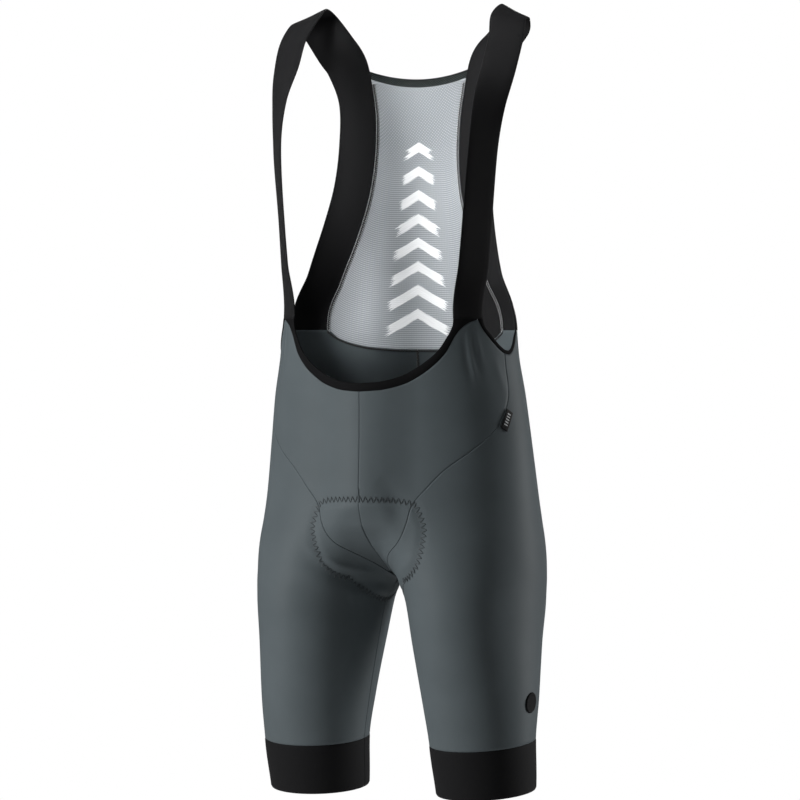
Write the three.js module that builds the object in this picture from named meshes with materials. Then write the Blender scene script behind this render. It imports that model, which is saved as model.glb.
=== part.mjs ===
import * as THREE from 'three';

// Cycling bib shorts, filled out as worn on a general figure with no wearer inside.
// Millimetres, +Z up, front towards -Y, the wearer's left towards +X.
// The origin lies midway between the tops of the two shoulder straps.
// Every piece is a thin wall of cloth; the left pieces are mirrored for the right.

// Cloth and seams
const PANEL_CLOTH = 1.2;
const BAND_CLOTH = 1.5;
const MESH_CLOTH = 1;
const SEAM_GAP = 0.3;
const HALF_GAP = SEAM_GAP / 2;

// Main levels, measured down from the strap tops
const HEM = -884;
const GRIPPER_TOP = -827;
const CROTCH = -644;
const PANEL_TIP = -636;
const WAIST_SEAM = -366;
const STRAP_START = -353;
const NECK_EDGE = -71;
const NECK_BINDING_HEIGHT = 9.5;

// Widths and small pieces
const ARMHOLE_BINDING_WIDTH = 4.5;
const NECK_DIP = 10;
const NECK_DEPTH = 50;
const DISC_RADIUS = 11.5;
const TAB_LENGTH = 24;
const TAB_WIDTH = 9;
const TRIM_CLOTH = 1;
const PAD_CLEARANCE = 3.7;
const PAD_EDGE = 1.5;
const PAD_CROWN = 4;

// How the mesh of each piece is divided
const ROUND_COLUMNS = 30;
const LEG_ROWS = 12;
const BODY_ROWS = 17;
const ROW_GROWTH = 1.45;
const QUARTER_STEPS = 24;

// Half sections of the body, from the hem up. Depths are forward of the side line for cf and fd
// and behind it for bd and cb. A half section runs from the centre front (ix, cf) by the
// frontmost point (fx, fd), the widest point (ox, oy) and the rearmost point (bx, bd) to the
// centre back (ix, cb). Below the crotch both ends meet at the inseam and close the ring.
// ridge is what the centre front stands out, and turn is 0 where the section leaves the centre
// seam sideways and 1 where it leaves it along the inseam.
const HALF_SECTIONS = [
  { z: -900, ix: 48, cf: -5, fx: 103.5, fd: 50, ox: 159, oy: 6, bx: 103.5, bd: 62, cb: 5, ridge: 0, turn: 1 },
  { z: -884, ix: 47.5, cf: -4, fx: 103.5, fd: 52, ox: 159.5, oy: 5, bx: 103.5, bd: 61, cb: 4, ridge: 0, turn: 1 },
  { z: -827, ix: 43.5, cf: 5, fx: 103, fd: 65, ox: 162.5, oy: -4, bx: 103, bd: 57, cb: -5, ridge: 0, turn: 1 },
  { z: -780, ix: 37, cf: 5, fx: 101, fd: 76, ox: 165, oy: -3, bx: 101, bd: 67, cb: -5, ridge: 0, turn: 1 },
  { z: -716, ix: 26, cf: 4, fx: 96.5, fd: 89, ox: 166, oy: 0, bx: 96.5, bd: 81, cb: -4, ridge: 0, turn: 1 },
  { z: -672, ix: 18, cf: 2, fx: 93.5, fd: 96, ox: 168, oy: 2, bx: 94, bd: 93, cb: -2, ridge: 0, turn: 0.98 },
  { z: -656, ix: 10.5, cf: 1, fx: 91, fd: 96.5, ox: 168.5, oy: 2, bx: 93, bd: 95, cb: -1, ridge: 0, turn: 0.92 },
  { z: -648, ix: 5.5, cf: 0, fx: 88.5, fd: 96.5, ox: 169, oy: 2, bx: 92, bd: 96, cb: 0, ridge: 0, turn: 0.85 },
  { z: -644, ix: 0, cf: 0, fx: 87, fd: 96.3, ox: 169, oy: 2, bx: 91, bd: 96.4, cb: 0, ridge: 0, turn: 0.8 },
  { z: -642, ix: 0, cf: 12, fx: 86.2, fd: 96.1, ox: 169, oy: 2, bx: 90.5, bd: 96.6, cb: 14, ridge: 0, turn: 0.72 },
  { z: -638, ix: 0, cf: 22, fx: 85, fd: 95.9, ox: 169, oy: 2, bx: 90, bd: 96.8, cb: 27, ridge: 0.5, turn: 0.66 },
  { z: -632, ix: 0, cf: 32, fx: 83.5, fd: 95.7, ox: 169, oy: 2, bx: 89, bd: 97, cb: 39, ridge: 1, turn: 0.61 },
  { z: -618, ix: 0, cf: 52, fx: 80, fd: 95.6, ox: 168.5, oy: 2, bx: 86, bd: 98, cb: 60, ridge: 4, turn: 0.55 },
  { z: -601, ix: 0, cf: 73, fx: 72, fd: 95.6, ox: 167, oy: 2, bx: 82, bd: 98, cb: 79, ridge: 9, turn: 0.38 },
  { z: -580, ix: 0, cf: 89, fx: 55, fd: 96, ox: 164, oy: 2, bx: 77, bd: 97, cb: 90, ridge: 14, turn: 0.12 },
  { z: -550, ix: 0, cf: 97, fx: 34, fd: 97, ox: 160.5, oy: 2, bx: 72, bd: 92, cb: 89, ridge: 15, turn: 0 },
  { z: -490, ix: 0, cf: 97, fx: 22, fd: 97, ox: 155, oy: 1, bx: 70, bd: 75, cb: 72, ridge: 13, turn: 0 },
  { z: -440, ix: 0, cf: 98, fx: 18, fd: 98, ox: 150, oy: 0, bx: 70, bd: 59, cb: 56, ridge: 12, turn: 0 },
  { z: -391, ix: 0, cf: 99, fx: 16, fd: 99, ox: 142.5, oy: 0, bx: 70, bd: 47, cb: 46, ridge: 12, turn: 0 },
  { z: -340, ix: 0, cf: 100, fx: 15, fd: 100, ox: 139, oy: 0, bx: 68, bd: 44, cb: 43, ridge: 12, turn: 0 },
];
const RIDGE_REACH = 65;
const ROUNDNESS = 0.55;

// Each leg's rings tilt: the front hangs lower than the back, and the outside is a little higher.
const LEG_TILT = { from: -672, to: -800, frontDrop: 0.12, outsideRise: 0.02, centreX: 100, centreY: -2 };

// Edges and seams of the panels. round is the share of the way round the half section,
// 0 at the centre front and 1 at the centre back.
const DIAGONAL_SEAM = [
  { z: -644, round: 0.0 },
  { z: -636, round: 0.009 },
  { z: -626, round: 0.026 },
  { z: -615, round: 0.054 },
  { z: -602, round: 0.09 },
  { z: -584, round: 0.115 },
  { z: -560, round: 0.14 },
  { z: -540, round: 0.184 },
  { z: -520, round: 0.236 },
  { z: -500, round: 0.31 },
  { z: -484, round: 0.365 },
  { z: -468, round: 0.41 },
  { z: -436, round: 0.458 },
  { z: -393, round: 0.475 },
];
const SCOOP_EDGE = [
  { round: 0, z: -434 },
  { round: 0.06, z: -432.5 },
  { round: 0.133, z: -426 },
  { round: 0.187, z: -416 },
  { round: 0.23, z: -405 },
  { round: 0.27, z: -391 },
  { round: 0.305, z: -371 },
  { round: 0.323, z: -364 },
  { round: 0.347, z: -358 },
  { round: 0.38, z: -354 },
];
const SCOOP_INNER_EDGE = [
  { round: 0, z: -424.5 },
  { round: 0.058, z: -423 },
  { round: 0.125, z: -417 },
  { round: 0.172, z: -408.5 },
  { round: 0.212, z: -399 },
  { round: 0.247, z: -388 },
  { round: 0.278, z: -372.5 },
  { round: 0.291, z: -365 },
  { round: 0.298, z: -359 },
  { round: 0.3, z: -353.3 },
];
const ARMHOLE_FRONT = [
  { round: 0.38, z: -354 },
  { round: 0.393, z: -363.5 },
  { round: 0.414, z: -373 },
  { round: 0.437, z: -382 },
  { round: 0.457, z: -388.3 },
  { round: 0.475, z: -392 },
];
const ARMHOLE_BACK = [
  { round: 0.475, z: -392 },
  { round: 0.494, z: -393 },
  { round: 0.513, z: -390.5 },
  { round: 0.531, z: -384 },
  { round: 0.546, z: -375 },
  { round: 0.56, z: -366 },
];
const STRAP_FOOT = [
  { round: 0.56, z: -366 },
  { round: 0.602, z: -366 },
  { round: 0.643, z: -366 },
  { round: 0.685, z: -366 },
];
const BACK_WAIST = [
  { round: 0.685, z: -366 },
  { round: 0.728, z: -376 },
  { round: 0.78, z: -382 },
  { round: 0.835, z: -385.5 },
  { round: 0.89, z: -387 },
  { round: 0.945, z: -388 },
  { round: 1, z: -388 },
];

// The left strap's middle line, from the front peak over the shoulder to the back waist.
// turn is the plan angle from +X of the line across the strap, inner edge to outer edge,
// drop is how far in degrees its outer edge lies lower, and width is measured across it,
// square to the line over a reach on either side.
const STRAP_LINE = [
  { x: 113.5, y: -60, z: -353, turn: 46, drop: 0, width: 37 },
  { x: 115, y: -60.5, z: -325, turn: 52, drop: 0, width: 38 },
  { x: 121, y: -60, z: -250, turn: 55, drop: 0, width: 38 },
  { x: 128, y: -58, z: -160, turn: 52, drop: 0, width: 37 },
  { x: 130.5, y: -47, z: -112, turn: 42, drop: 2, width: 37 },
  { x: 132.5, y: -24.5, z: -69.5, turn: 19, drop: 5, width: 38 },
  { x: 132.5, y: -6.5, z: -37, turn: 8.5, drop: 13.5, width: 39 },
  { x: 127, y: 13, z: -14, turn: -4, drop: 19.5, width: 40 },
  { x: 127.5, y: 31.5, z: -8, turn: -17, drop: 24, width: 40.5 },
  { x: 123.5, y: 47, z: -19.5, turn: -23, drop: 26, width: 44 },
  { x: 102.5, y: 44, z: -45.5, turn: -15, drop: 24, width: 47 },
  { x: 89, y: 44.5, z: -64, turn: -7, drop: 19, width: 48 },
  { x: 77, y: 45.5, z: -105, turn: -7, drop: 10.5, width: 42 },
  { x: 74, y: 41.5, z: -155, turn: -8, drop: 2, width: 43 },
  { x: 78, y: 35.5, z: -205, turn: -12, drop: 0, width: 42 },
  { x: 88.5, y: 28.5, z: -250, turn: -24, drop: 0, width: 40 },
  { x: 105, y: 22, z: -300, turn: -40, drop: 0, width: 39 },
  { x: 118.5, y: 20.5, z: -340, turn: -48, drop: 0, width: 40 },
  { x: 125.5, y: 21, z: -366, turn: -52, drop: 0, width: 41 },
];
const STRAP_START_ROUND = { inner: 0.3, outer: 0.398 };
const STRAP_BLEND = 0.08;
const STRAP_REACH = 0.03;
const CREST_START = 0.42;
const FRONT_STATIONS = 20;
const CREST_STATIONS = 18;
const BACK_STATIONS = 20;
const STRAP_CELLS = 3;

// The pad's rim on the left half, from its front top round under the crotch to the back.
// round is counted back from the inseam, and is negative, on the seat.
const PAD_SEAM = [
  { step: 0, z: -553 },
  { step: 1, z: -575 },
  { step: 2, z: -594 },
  { step: 3, z: -611 },
  { step: 4, z: -628 },
  { step: 5, z: -644 },
  { step: 6, z: -628 },
  { step: 7, z: -611 },
  { step: 8, z: -594 },
  { step: 9, z: -575 },
  { step: 10, z: -556 },
];
const PAD_RIM = [
  { step: 0, round: 0.1, z: -553 },
  { step: 1, round: 0.148, z: -567 },
  { step: 2, round: 0.156, z: -590 },
  { step: 3, round: 0.132, z: -614 },
  { step: 4, round: 0.092, z: -640 },
  { step: 5, round: 0, z: -668 },
  { step: 6, round: -0.09, z: -640 },
  { step: 7, round: -0.13, z: -616 },
  { step: 8, round: -0.15, z: -592 },
  { step: 9, round: -0.14, z: -570 },
  { step: 10, round: -0.09, z: -556 },
];
const PAD_CELLS = 5;

// Places of the two small pieces on the left leg panel's outside
const TAB_PLACE = { round: 0.433, z: -466, lean: 32 };
const DISC_PLACE = { round: 0.485, z: -781.5 };

// A smooth curve through each named column of a table, with no overshoot between its rows
function slopesOf(at, values) {
  const steps = values.slice(1).map((value, i) => (value - values[i]) / (at[i + 1] - at[i]));
  return values.map((_, i) => {
    if (i === 0) return steps[0];
    if (i === values.length - 1) return steps[i - 1];
    const before = steps[i - 1];
    const after = steps[i];
    return before * after <= 0 ? 0 : (2 * before * after) / (before + after);
  });
}

function smoothTable(rows, key) {
  const at = rows.map((row) => row[key]);
  const names = Object.keys(rows[0]).filter((name) => name !== key);
  const slopes = {};
  for (const name of names) slopes[name] = slopesOf(at, rows.map((row) => row[name]));
  return (value) => {
    let i = 0;
    while (i < rows.length - 2 && value > at[i + 1]) i += 1;
    const span = at[i + 1] - at[i];
    const t = THREE.MathUtils.clamp((value - at[i]) / span, 0, 1);
    const result = {};
    for (const name of names) {
      const held = rows[i][name] * (1 + 2 * t) * (1 - t) ** 2 + rows[i + 1][name] * t * t * (3 - 2 * t);
      const bent = span * t * (1 - t) * (slopes[name][i] * (1 - t) - slopes[name][i + 1] * t);
      result[name] = held + bent;
    }
    return result;
  };
}

const sectionAt = smoothTable(HALF_SECTIONS, 'z');
const diagonalAt = smoothTable(DIAGONAL_SEAM, 'z');

// One half section as a line of points with the distance walked at each
const outlines = new Map();

function outlineAt(z) {
  const key = Math.round(z * 1000);
  if (outlines.has(key)) return outlines.get(key);
  const s = sectionAt(z);
  const sideways = Math.cos(s.turn * Math.PI / 2);
  const along = Math.sin(s.turn * Math.PI / 2);
  const corner = (x, y) => new THREE.Vector3(x, y, 0);
  const front = new THREE.CubicBezierCurve3(
    corner(s.ix, -s.cf),
    corner(s.ix + ROUNDNESS * sideways * (s.fx - s.ix), -s.cf - ROUNDNESS * along * (s.fd - s.cf)),
    corner(s.fx - ROUNDNESS * (s.fx - s.ix), -s.fd),
    corner(s.fx, -s.fd),
  );
  const frontSide = new THREE.CubicBezierCurve3(
    corner(s.fx, -s.fd),
    corner(s.fx + ROUNDNESS * (s.ox - s.fx), -s.fd),
    corner(s.ox, s.oy - ROUNDNESS * (s.fd + s.oy)),
    corner(s.ox, s.oy),
  );
  const backSide = new THREE.CubicBezierCurve3(
    corner(s.ox, s.oy),
    corner(s.ox, s.oy + ROUNDNESS * (s.bd - s.oy)),
    corner(s.bx + ROUNDNESS * (s.ox - s.bx), s.bd),
    corner(s.bx, s.bd),
  );
  const back = new THREE.CubicBezierCurve3(
    corner(s.bx, s.bd),
    corner(s.bx - ROUNDNESS * (s.bx - s.ix), s.bd),
    corner(s.ix + ROUNDNESS * sideways * (s.bx - s.ix), s.cb + ROUNDNESS * along * (s.bd - s.cb)),
    corner(s.ix, s.cb),
  );
  const points = [front, frontSide, backSide, back].flatMap((quarter, index) => {
    const part = quarter.getPoints(QUARTER_STEPS);
    return index === 0 ? part : part.slice(1);
  });
  const middle = 2 * QUARTER_STEPS;
  points.forEach((point, i) => {
    const inRidge = i < middle && point.x < RIDGE_REACH;
    if (inRidge) point.y -= s.ridge * (1 + Math.cos(Math.PI * point.x / RIDGE_REACH)) / 2;
  });
  const walked = [0];
  for (let i = 1; i < points.length; i += 1) walked.push(walked[i - 1] + points[i].distanceTo(points[i - 1]));
  const outline = { points, walked, length: walked[walked.length - 1] };
  outlines.set(key, outline);
  return outline;
}

// A point of the left half's outer face
function bodyPoint(round, z) {
  const { points, walked, length } = outlineAt(z);
  const at = THREE.MathUtils.clamp(round, 0, 1) * length;
  let i = walked.findIndex((distance) => distance >= at);
  i = Math.max(1, i);
  const t = (at - walked[i - 1]) / (walked[i] - walked[i - 1]);
  const point = points[i - 1].clone().lerp(points[i], t);
  const tilt = THREE.MathUtils.smoothstep(-z, -LEG_TILT.from, -LEG_TILT.to);
  const drop = LEG_TILT.frontDrop * (point.y - LEG_TILT.centreY);
  const rise = LEG_TILT.outsideRise * (point.x - LEG_TILT.centreX);
  point.z = z + tilt * (drop + rise);
  return point;
}

// Outward normal there; on the centre seams it lies in the middle plane
function bodyNormal(round, z) {
  const step = 0.004;
  const lift = 1.5;
  const closed = z < CROTCH;
  const before = closed ? (round - step + 1) % 1 : Math.max(round - step, 0);
  const after = closed ? (round + step) % 1 : Math.min(round + step, 1);
  const aroundStep = bodyPoint(after, z).sub(bodyPoint(before, z));
  const upStep = bodyPoint(round, z + lift).sub(bodyPoint(round, z - lift));
  const normal = aroundStep.cross(upStep);
  const onCentre = !closed && (round < step / 4 || round > 1 - step / 4);
  if (onCentre) normal.x = 0;
  return normal.normalize();
}

function bodyPlace(round, z) {
  const point = bodyPoint(round, z);
  if (z >= CROTCH - 1e-6) point.x = Math.max(point.x, HALF_GAP);
  return { point, normal: bodyNormal(round, z) };
}

// A closed wall over a grid of places, between two distances out from the grid.
// A closed grid joins its last column to its first, and a symmetric one divides its
// two halves as mirror images.
function wall(grid, outside, inside, { closed = false, symmetric = false } = {}) {
  const rows = grid.length;
  const columns = grid[0].length;
  const positions = [];
  const depthAt = (distance, row, column) => (
    typeof distance === 'function' ? distance(row, column) : distance
  );
  for (const distance of [outside, inside]) {
    grid.forEach((line, row) => line.forEach(({ point, normal }, column) => {
      const moved = point.clone().addScaledVector(normal, depthAt(distance, row, column));
      positions.push(moved.x, moved.y, moved.z);
    }));
  }
  const index = [];
  const layer = rows * columns;
  const at = (side, row, column) => side * layer + row * columns + (column % columns);
  const across = closed ? columns : columns - 1;
  let turned = false;
  const quad = (a, b, c, d) => {
    if (turned) index.push(b, c, d, b, d, a);
    else index.push(a, b, c, a, c, d);
  };
  for (let row = 0; row < rows - 1; row += 1) {
    for (let column = 0; column < across; column += 1) {
      turned = symmetric && column < across / 2;
      quad(at(0, row, column), at(0, row, column + 1), at(0, row + 1, column + 1), at(0, row + 1, column));
      quad(at(1, row, column), at(1, row + 1, column), at(1, row + 1, column + 1), at(1, row, column + 1));
    }
  }
  const top = rows - 1;
  for (let column = 0; column < across; column += 1) {
    turned = symmetric && column < across / 2;
    quad(at(1, 0, column), at(1, 0, column + 1), at(0, 0, column + 1), at(0, 0, column));
    quad(at(0, top, column + 1), at(1, top, column + 1), at(1, top, column), at(0, top, column));
  }
  turned = false;
  if (!closed) {
    for (let row = 0; row < rows - 1; row += 1) {
      quad(at(0, row + 1, 0), at(1, row + 1, 0), at(1, row, 0), at(0, row, 0));
      const last = columns - 1;
      quad(at(1, row, last), at(1, row + 1, last), at(0, row + 1, last), at(0, row, last));
    }
  }
  const geometry = new THREE.BufferGeometry();
  geometry.setAttribute('position', new THREE.Float32BufferAttribute(positions, 3));
  geometry.setIndex(index);
  geometry.computeVertexNormals();
  return geometry;
}

// The same wall on the wearer's right: x reversed, and each triangle turned over
function mirrored(geometry) {
  const copy = geometry.clone();
  const position = copy.getAttribute('position');
  for (let i = 0; i < position.count; i += 1) position.setX(i, -position.getX(i));
  const index = copy.getIndex();
  for (let i = 0; i < index.count; i += 3) {
    const second = index.getX(i + 1);
    index.setX(i + 1, index.getX(i + 2));
    index.setX(i + 2, second);
  }
  copy.computeVertexNormals();
  return copy;
}

// An edge's sample moved across the cloth: up is positive, off the panel that the edge ends
function edgeNormals(edge) {
  const flat = edge.map(({ round, z }) => new THREE.Vector2(round * outlineAt(z).length, z));
  return flat.map((_, i) => {
    const before = flat[Math.max(i - 1, 0)];
    const after = flat[Math.min(i + 1, flat.length - 1)];
    const along = after.clone().sub(before).normalize();
    return new THREE.Vector2(-along.y, along.x);
  });
}

function movedAcross({ round, z }, normal, distance) {
  return { round: round + normal.x * distance / outlineAt(z).length, z: z + normal.y * distance };
}

function movedEdge(edge, distance, ends = {}) {
  const normals = edgeNormals(edge);
  if (ends.first) normals[0].set(ends.first.x, ends.first.y);
  if (ends.last) normals[normals.length - 1].set(ends.last.x, ends.last.y);
  return edge.map((sample, i) => movedAcross(sample, normals[i], distance));
}

const UP = { x: 0, y: 1 };

// Share of the way round at which a panel's edge runs beside the diagonal seam
function besideSeam(z, side) {
  if (z <= PANEL_TIP && side > 0) {
    const rising = (z - CROTCH) / (PANEL_TIP - CROTCH);
    return Math.max(0, rising) * besideSeam(PANEL_TIP + 1e-6, side);
  }
  const here = diagonalAt(z).round * outlineAt(z).length;
  const above = diagonalAt(z + 1).round * outlineAt(z + 1).length;
  const slant = Math.hypot(1, above - here);
  return (here + side * HALF_GAP * slant) / outlineAt(z).length;
}

// Shared heights of the rows where the panels meet along the diagonal seam, closer near the crotch
const SEAM_TOP = ARMHOLE_BACK[0].z - HALF_GAP;
const rowShare = (row) => (row / BODY_ROWS) ** ROW_GROWTH;
const seamLevel = (row) => THREE.MathUtils.lerp(CROTCH, SEAM_TOP, rowShare(row));

// Front panel: from its tip at the crotch up to the scoop, the peak and the armhole
function frontPanel() {
  const scoop = movedEdge(SCOOP_EDGE, -HALF_GAP, { first: UP, last: UP });
  const armhole = movedEdge(ARMHOLE_FRONT, -HALF_GAP, { first: UP, last: UP });
  const top = [...scoop, ...armhole.slice(1)];
  const reach = top[top.length - 1].round;
  const bottom = PANEL_TIP + SEAM_GAP;
  const levels = [bottom];
  for (let row = 1; row <= BODY_ROWS; row += 1) if (seamLevel(row) > bottom + 1) levels.push(seamLevel(row));
  const grid = levels.map((level, row) => top.map((sample, column) => {
    const share = (level - bottom) / (SEAM_TOP - bottom);
    const z = THREE.MathUtils.lerp(bottom, sample.z, share);
    if (row === levels.length - 1 && column < top.length - 1) return bodyPlace(sample.round, z);
    const edge = besideSeam(Math.min(z, SEAM_TOP), -1);
    return bodyPlace(edge * (sample.round / reach), z);
  }));
  return wall(grid, 0, -PANEL_CLOTH);
}

// Leg panel: the leg's closed tube, and above the crotch the side and seat
function legPanel() {
  const armhole = movedEdge(ARMHOLE_BACK, -HALF_GAP, { first: UP, last: UP });
  const foot = movedEdge(STRAP_FOOT, -HALF_GAP, { first: UP, last: UP });
  const waist = movedEdge(BACK_WAIST, -HALF_GAP, { first: UP, last: UP });
  const features = [...armhole, ...foot.slice(1), ...waist.slice(1)];
  const top = spread(features, ROUND_COLUMNS);
  const columns = top.length - 1;
  const start = top[0].round;
  const lower = [];
  for (let row = 0; row < LEG_ROWS; row += 1) {
    const share = row / LEG_ROWS;
    const z = THREE.MathUtils.lerp(GRIPPER_TOP + HALF_GAP, CROTCH, 1 - (1 - share) ** 1.5);
    const line = [];
    for (let column = 0; column < columns; column += 1) line.push(bodyPlace(column / columns, z));
    lower.push(line);
  }
  const upper = [];
  for (let row = 0; row <= BODY_ROWS; row += 1) {
    const share = rowShare(row);
    upper.push(top.map((sample, column) => {
      const z = THREE.MathUtils.lerp(CROTCH, sample.z, share);
      if (row === BODY_ROWS && column > 0) return bodyPlace(sample.round, z);
      const edge = besideSeam(Math.min(z, SEAM_TOP), 1);
      const even = column / columns;
      const settled = (sample.round - start) / (1 - start);
      const across = THREE.MathUtils.lerp(even, settled, share * share);
      return bodyPlace(edge + (1 - edge) * across, z);
    }));
  }
  return tubeWithOpenTop(lower, upper, -PANEL_CLOTH);
}

// Extra samples put into the widest gaps of an edge until it has the wanted number of cells
function spread(edge, cells) {
  const samples = edge.map((sample) => ({ ...sample }));
  while (samples.length - 1 < cells) {
    let widest = 1;
    for (let i = 1; i < samples.length; i += 1) {
      const gap = samples[i].round - samples[i - 1].round;
      if (gap > samples[widest].round - samples[widest - 1].round + 1e-9) widest = i;
    }
    const a = samples[widest - 1];
    const b = samples[widest];
    samples.splice(widest, 0, { round: (a.round + b.round) / 2, z: (a.z + b.z) / 2 });
  }
  return samples;
}

// A closed tube below whose ring opens at the inseam into a sheet above
function tubeWithOpenTop(lower, upper, inside) {
  const columns = lower[0].length;
  const closedRows = lower.length;
  const positions = [];
  const store = (place, distance) => {
    const moved = place.point.clone().addScaledVector(place.normal, distance);
    positions.push(moved.x, moved.y, moved.z);
    return positions.length / 3 - 1;
  };
  const faces = [0, inside].map((distance) => {
    const rows = lower.map((line) => {
      const stored = line.map((place) => store(place, distance));
      return [...stored, stored[0]];
    });
    upper.forEach((line, row) => {
      const stored = line.map((place) => store(place, distance));
      if (row === 0) stored[columns] = stored[0];
      rows.push(stored);
    });
    return rows;
  });
  const index = [];
  const quad = (a, b, c, d) => index.push(a, b, c, a, c, d);
  const [out, back] = faces;
  for (let row = 0; row < out.length - 1; row += 1) {
    for (let column = 0; column < columns; column += 1) {
      quad(out[row][column], out[row][column + 1], out[row + 1][column + 1], out[row + 1][column]);
      quad(back[row][column], back[row + 1][column], back[row + 1][column + 1], back[row][column + 1]);
    }
  }
  const top = out.length - 1;
  for (let column = 0; column < columns; column += 1) {
    quad(back[0][column], back[0][column + 1], out[0][column + 1], out[0][column]);
    quad(out[top][column + 1], back[top][column + 1], back[top][column], out[top][column]);
  }
  for (let row = closedRows; row < top; row += 1) {
    quad(out[row + 1][0], back[row + 1][0], back[row][0], out[row][0]);
    quad(back[row][columns], back[row + 1][columns], out[row + 1][columns], out[row][columns]);
  }
  const geometry = new THREE.BufferGeometry();
  geometry.setAttribute('position', new THREE.Float32BufferAttribute(positions, 3));
  geometry.setIndex(index);
  geometry.computeVertexNormals();
  return geometry;
}

function gripper() {
  const grid = [];
  const rows = 4;
  for (let row = 0; row <= rows; row += 1) {
    const z = THREE.MathUtils.lerp(HEM, GRIPPER_TOP - HALF_GAP, row / rows);
    const line = [];
    for (let column = 0; column < ROUND_COLUMNS; column += 1) line.push(bodyPlace(column / ROUND_COLUMNS, z));
    grid.push(line);
  }
  return wall(grid, 0, -BAND_CLOTH, { closed: true });
}

// Binding of the scooped front, both halves in one piece, from strap to strap
function scoopBinding() {
  const outer = movedEdge(SCOOP_EDGE, HALF_GAP, { first: UP, last: UP });
  const inner = SCOOP_INNER_EDGE;
  const half = [outer, inner].map((edge) => edge.map(({ round, z }) => {
    const place = bodyPlace(round, z);
    if (round === 0) place.point.x = 0;
    return place;
  }));
  return wall(bothSides(half), 0, -BAND_CLOTH, { symmetric: true });
}

// The left half's lines continued on the right, first column on the middle plane
function bothSides(half) {
  return half.map((line) => {
    const other = line.slice(1).reverse().map(({ point, normal }) => ({
      point: new THREE.Vector3(-point.x, point.y, point.z),
      normal: new THREE.Vector3(-normal.x, normal.y, normal.z),
    }));
    return [...other, ...line];
  });
}

function armholeBinding() {
  const edge = [...ARMHOLE_FRONT, ...ARMHOLE_BACK.slice(1)];
  const last = edge.length - 1;
  const low = movedEdge(edge, HALF_GAP, { first: UP, last: UP });
  const high = movedEdge(edge, ARMHOLE_BINDING_WIDTH, { last: UP });
  const clear = SEAM_GAP / outlineAt(WAIST_SEAM).length;
  low[last].round -= clear;
  high[last].round -= clear;
  low[0].round += clear / 2;
  high[0] = { round: STRAP_START_ROUND.outer, z: STRAP_START - HALF_GAP };
  return wall([low, high].map((line) => line.map(({ round, z }) => bodyPlace(round, z))), 0, -BAND_CLOTH);
}

// The strap: a band whose two ends settle onto the body's rounded surface
const strapPath = new THREE.CatmullRomCurve3(
  STRAP_LINE.map(({ x, y, z }) => new THREE.Vector3(x, y, z)), false, 'centripetal',
);
strapPath.arcLengthDivisions = 800;
const strapTurn = smoothTable(
  STRAP_LINE.map(({ turn, drop, width }, row) => ({ row, turn, drop, width })), 'row',
);

function strapFrame(along) {
  const t = strapPath.getUtoTmapping(along, 0);
  const centre = strapPath.getPoint(t);
  const ahead = strapPath.getPoint(Math.min(t + STRAP_REACH, 1));
  const behind = strapPath.getPoint(Math.max(t - STRAP_REACH, 0));
  const tangent = ahead.sub(behind).normalize();
  const { turn, drop, width } = strapTurn(t * (STRAP_LINE.length - 1));
  const plan = THREE.MathUtils.degToRad(turn);
  const fall = THREE.MathUtils.degToRad(drop);
  const sideways = new THREE.Vector3(
    Math.cos(plan) * Math.cos(fall), Math.sin(plan) * Math.cos(fall), -Math.sin(fall),
  );
  sideways.addScaledVector(tangent, -sideways.dot(tangent)).normalize();
  const normal = new THREE.Vector3().crossVectors(sideways, tangent).normalize();
  return { centre, sideways, normal, width };
}

// across runs from 0 at the inner edge to 1 at the outer edge
function strapPlace(along, across) {
  const { centre, sideways, normal, width } = strapFrame(along);
  const place = { point: centre.clone().addScaledVector(sideways, (across - 0.5) * width), normal };
  const fromStart = 1 - THREE.MathUtils.smoothstep(along, 0, STRAP_BLEND);
  const fromEnd = THREE.MathUtils.smoothstep(along, 1 - STRAP_BLEND, 1);
  const settle = Math.max(fromStart, fromEnd);
  if (settle === 0) return place;
  const ends = fromEnd > 0
    ? { inner: STRAP_FOOT[STRAP_FOOT.length - 1].round, outer: STRAP_FOOT[0].round, z: WAIST_SEAM + HALF_GAP }
    : { ...STRAP_START_ROUND, z: STRAP_START + HALF_GAP };
  const level = Math.max(place.point.z, ends.z);
  const round = THREE.MathUtils.lerp(ends.inner, ends.outer, across);
  const onBody = bodyPlace(round, fromEnd === 1 || fromStart === 1 ? ends.z : level);
  place.point.lerp(onBody.point, settle);
  place.normal = normal.clone().lerp(onBody.normal, settle).normalize();
  return place;
}

// Where along the strap its inner edge passes a level on the way down the back
function backStationAt(z) {
  let low = 0.5;
  let high = 1;
  for (let i = 0; i < 40; i += 1) {
    const middle = (low + high) / 2;
    if (strapPlace(middle, 0).point.z > z) low = middle;
    else high = middle;
  }
  return (low + high) / 2;
}

const NECK_TOP_STATION = backStationAt(NECK_EDGE);
const MESH_TOP_STATION = backStationAt(NECK_EDGE - NECK_BINDING_HEIGHT);

function strap() {
  const stations = [];
  for (let i = 0; i < FRONT_STATIONS; i += 1) stations.push(CREST_START * i / FRONT_STATIONS);
  for (let i = 0; i <= CREST_STATIONS; i += 1) {
    stations.push(THREE.MathUtils.lerp(CREST_START, NECK_TOP_STATION, i / CREST_STATIONS));
  }
  for (let i = 0; i <= BACK_STATIONS; i += 1) {
    stations.push(THREE.MathUtils.lerp(MESH_TOP_STATION, 1, i / BACK_STATIONS));
  }
  const cells = Array.from({ length: STRAP_CELLS + 1 }, (_, cell) => cell / STRAP_CELLS);
  const grid = stations.map((along) => cells.map((across) => strapPlace(along, across)));
  return wall(grid, 0, -BAND_CLOTH);
}

// A place beside the strap's inner edge, a seam gap away from it in the strap's own plane
function besideStrap(along) {
  const { point, normal } = strapPlace(along, 0);
  const inwards = point.clone().sub(strapPlace(along, 1).point).normalize();
  return { point: point.addScaledVector(inwards, SEAM_GAP), normal };
}

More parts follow.
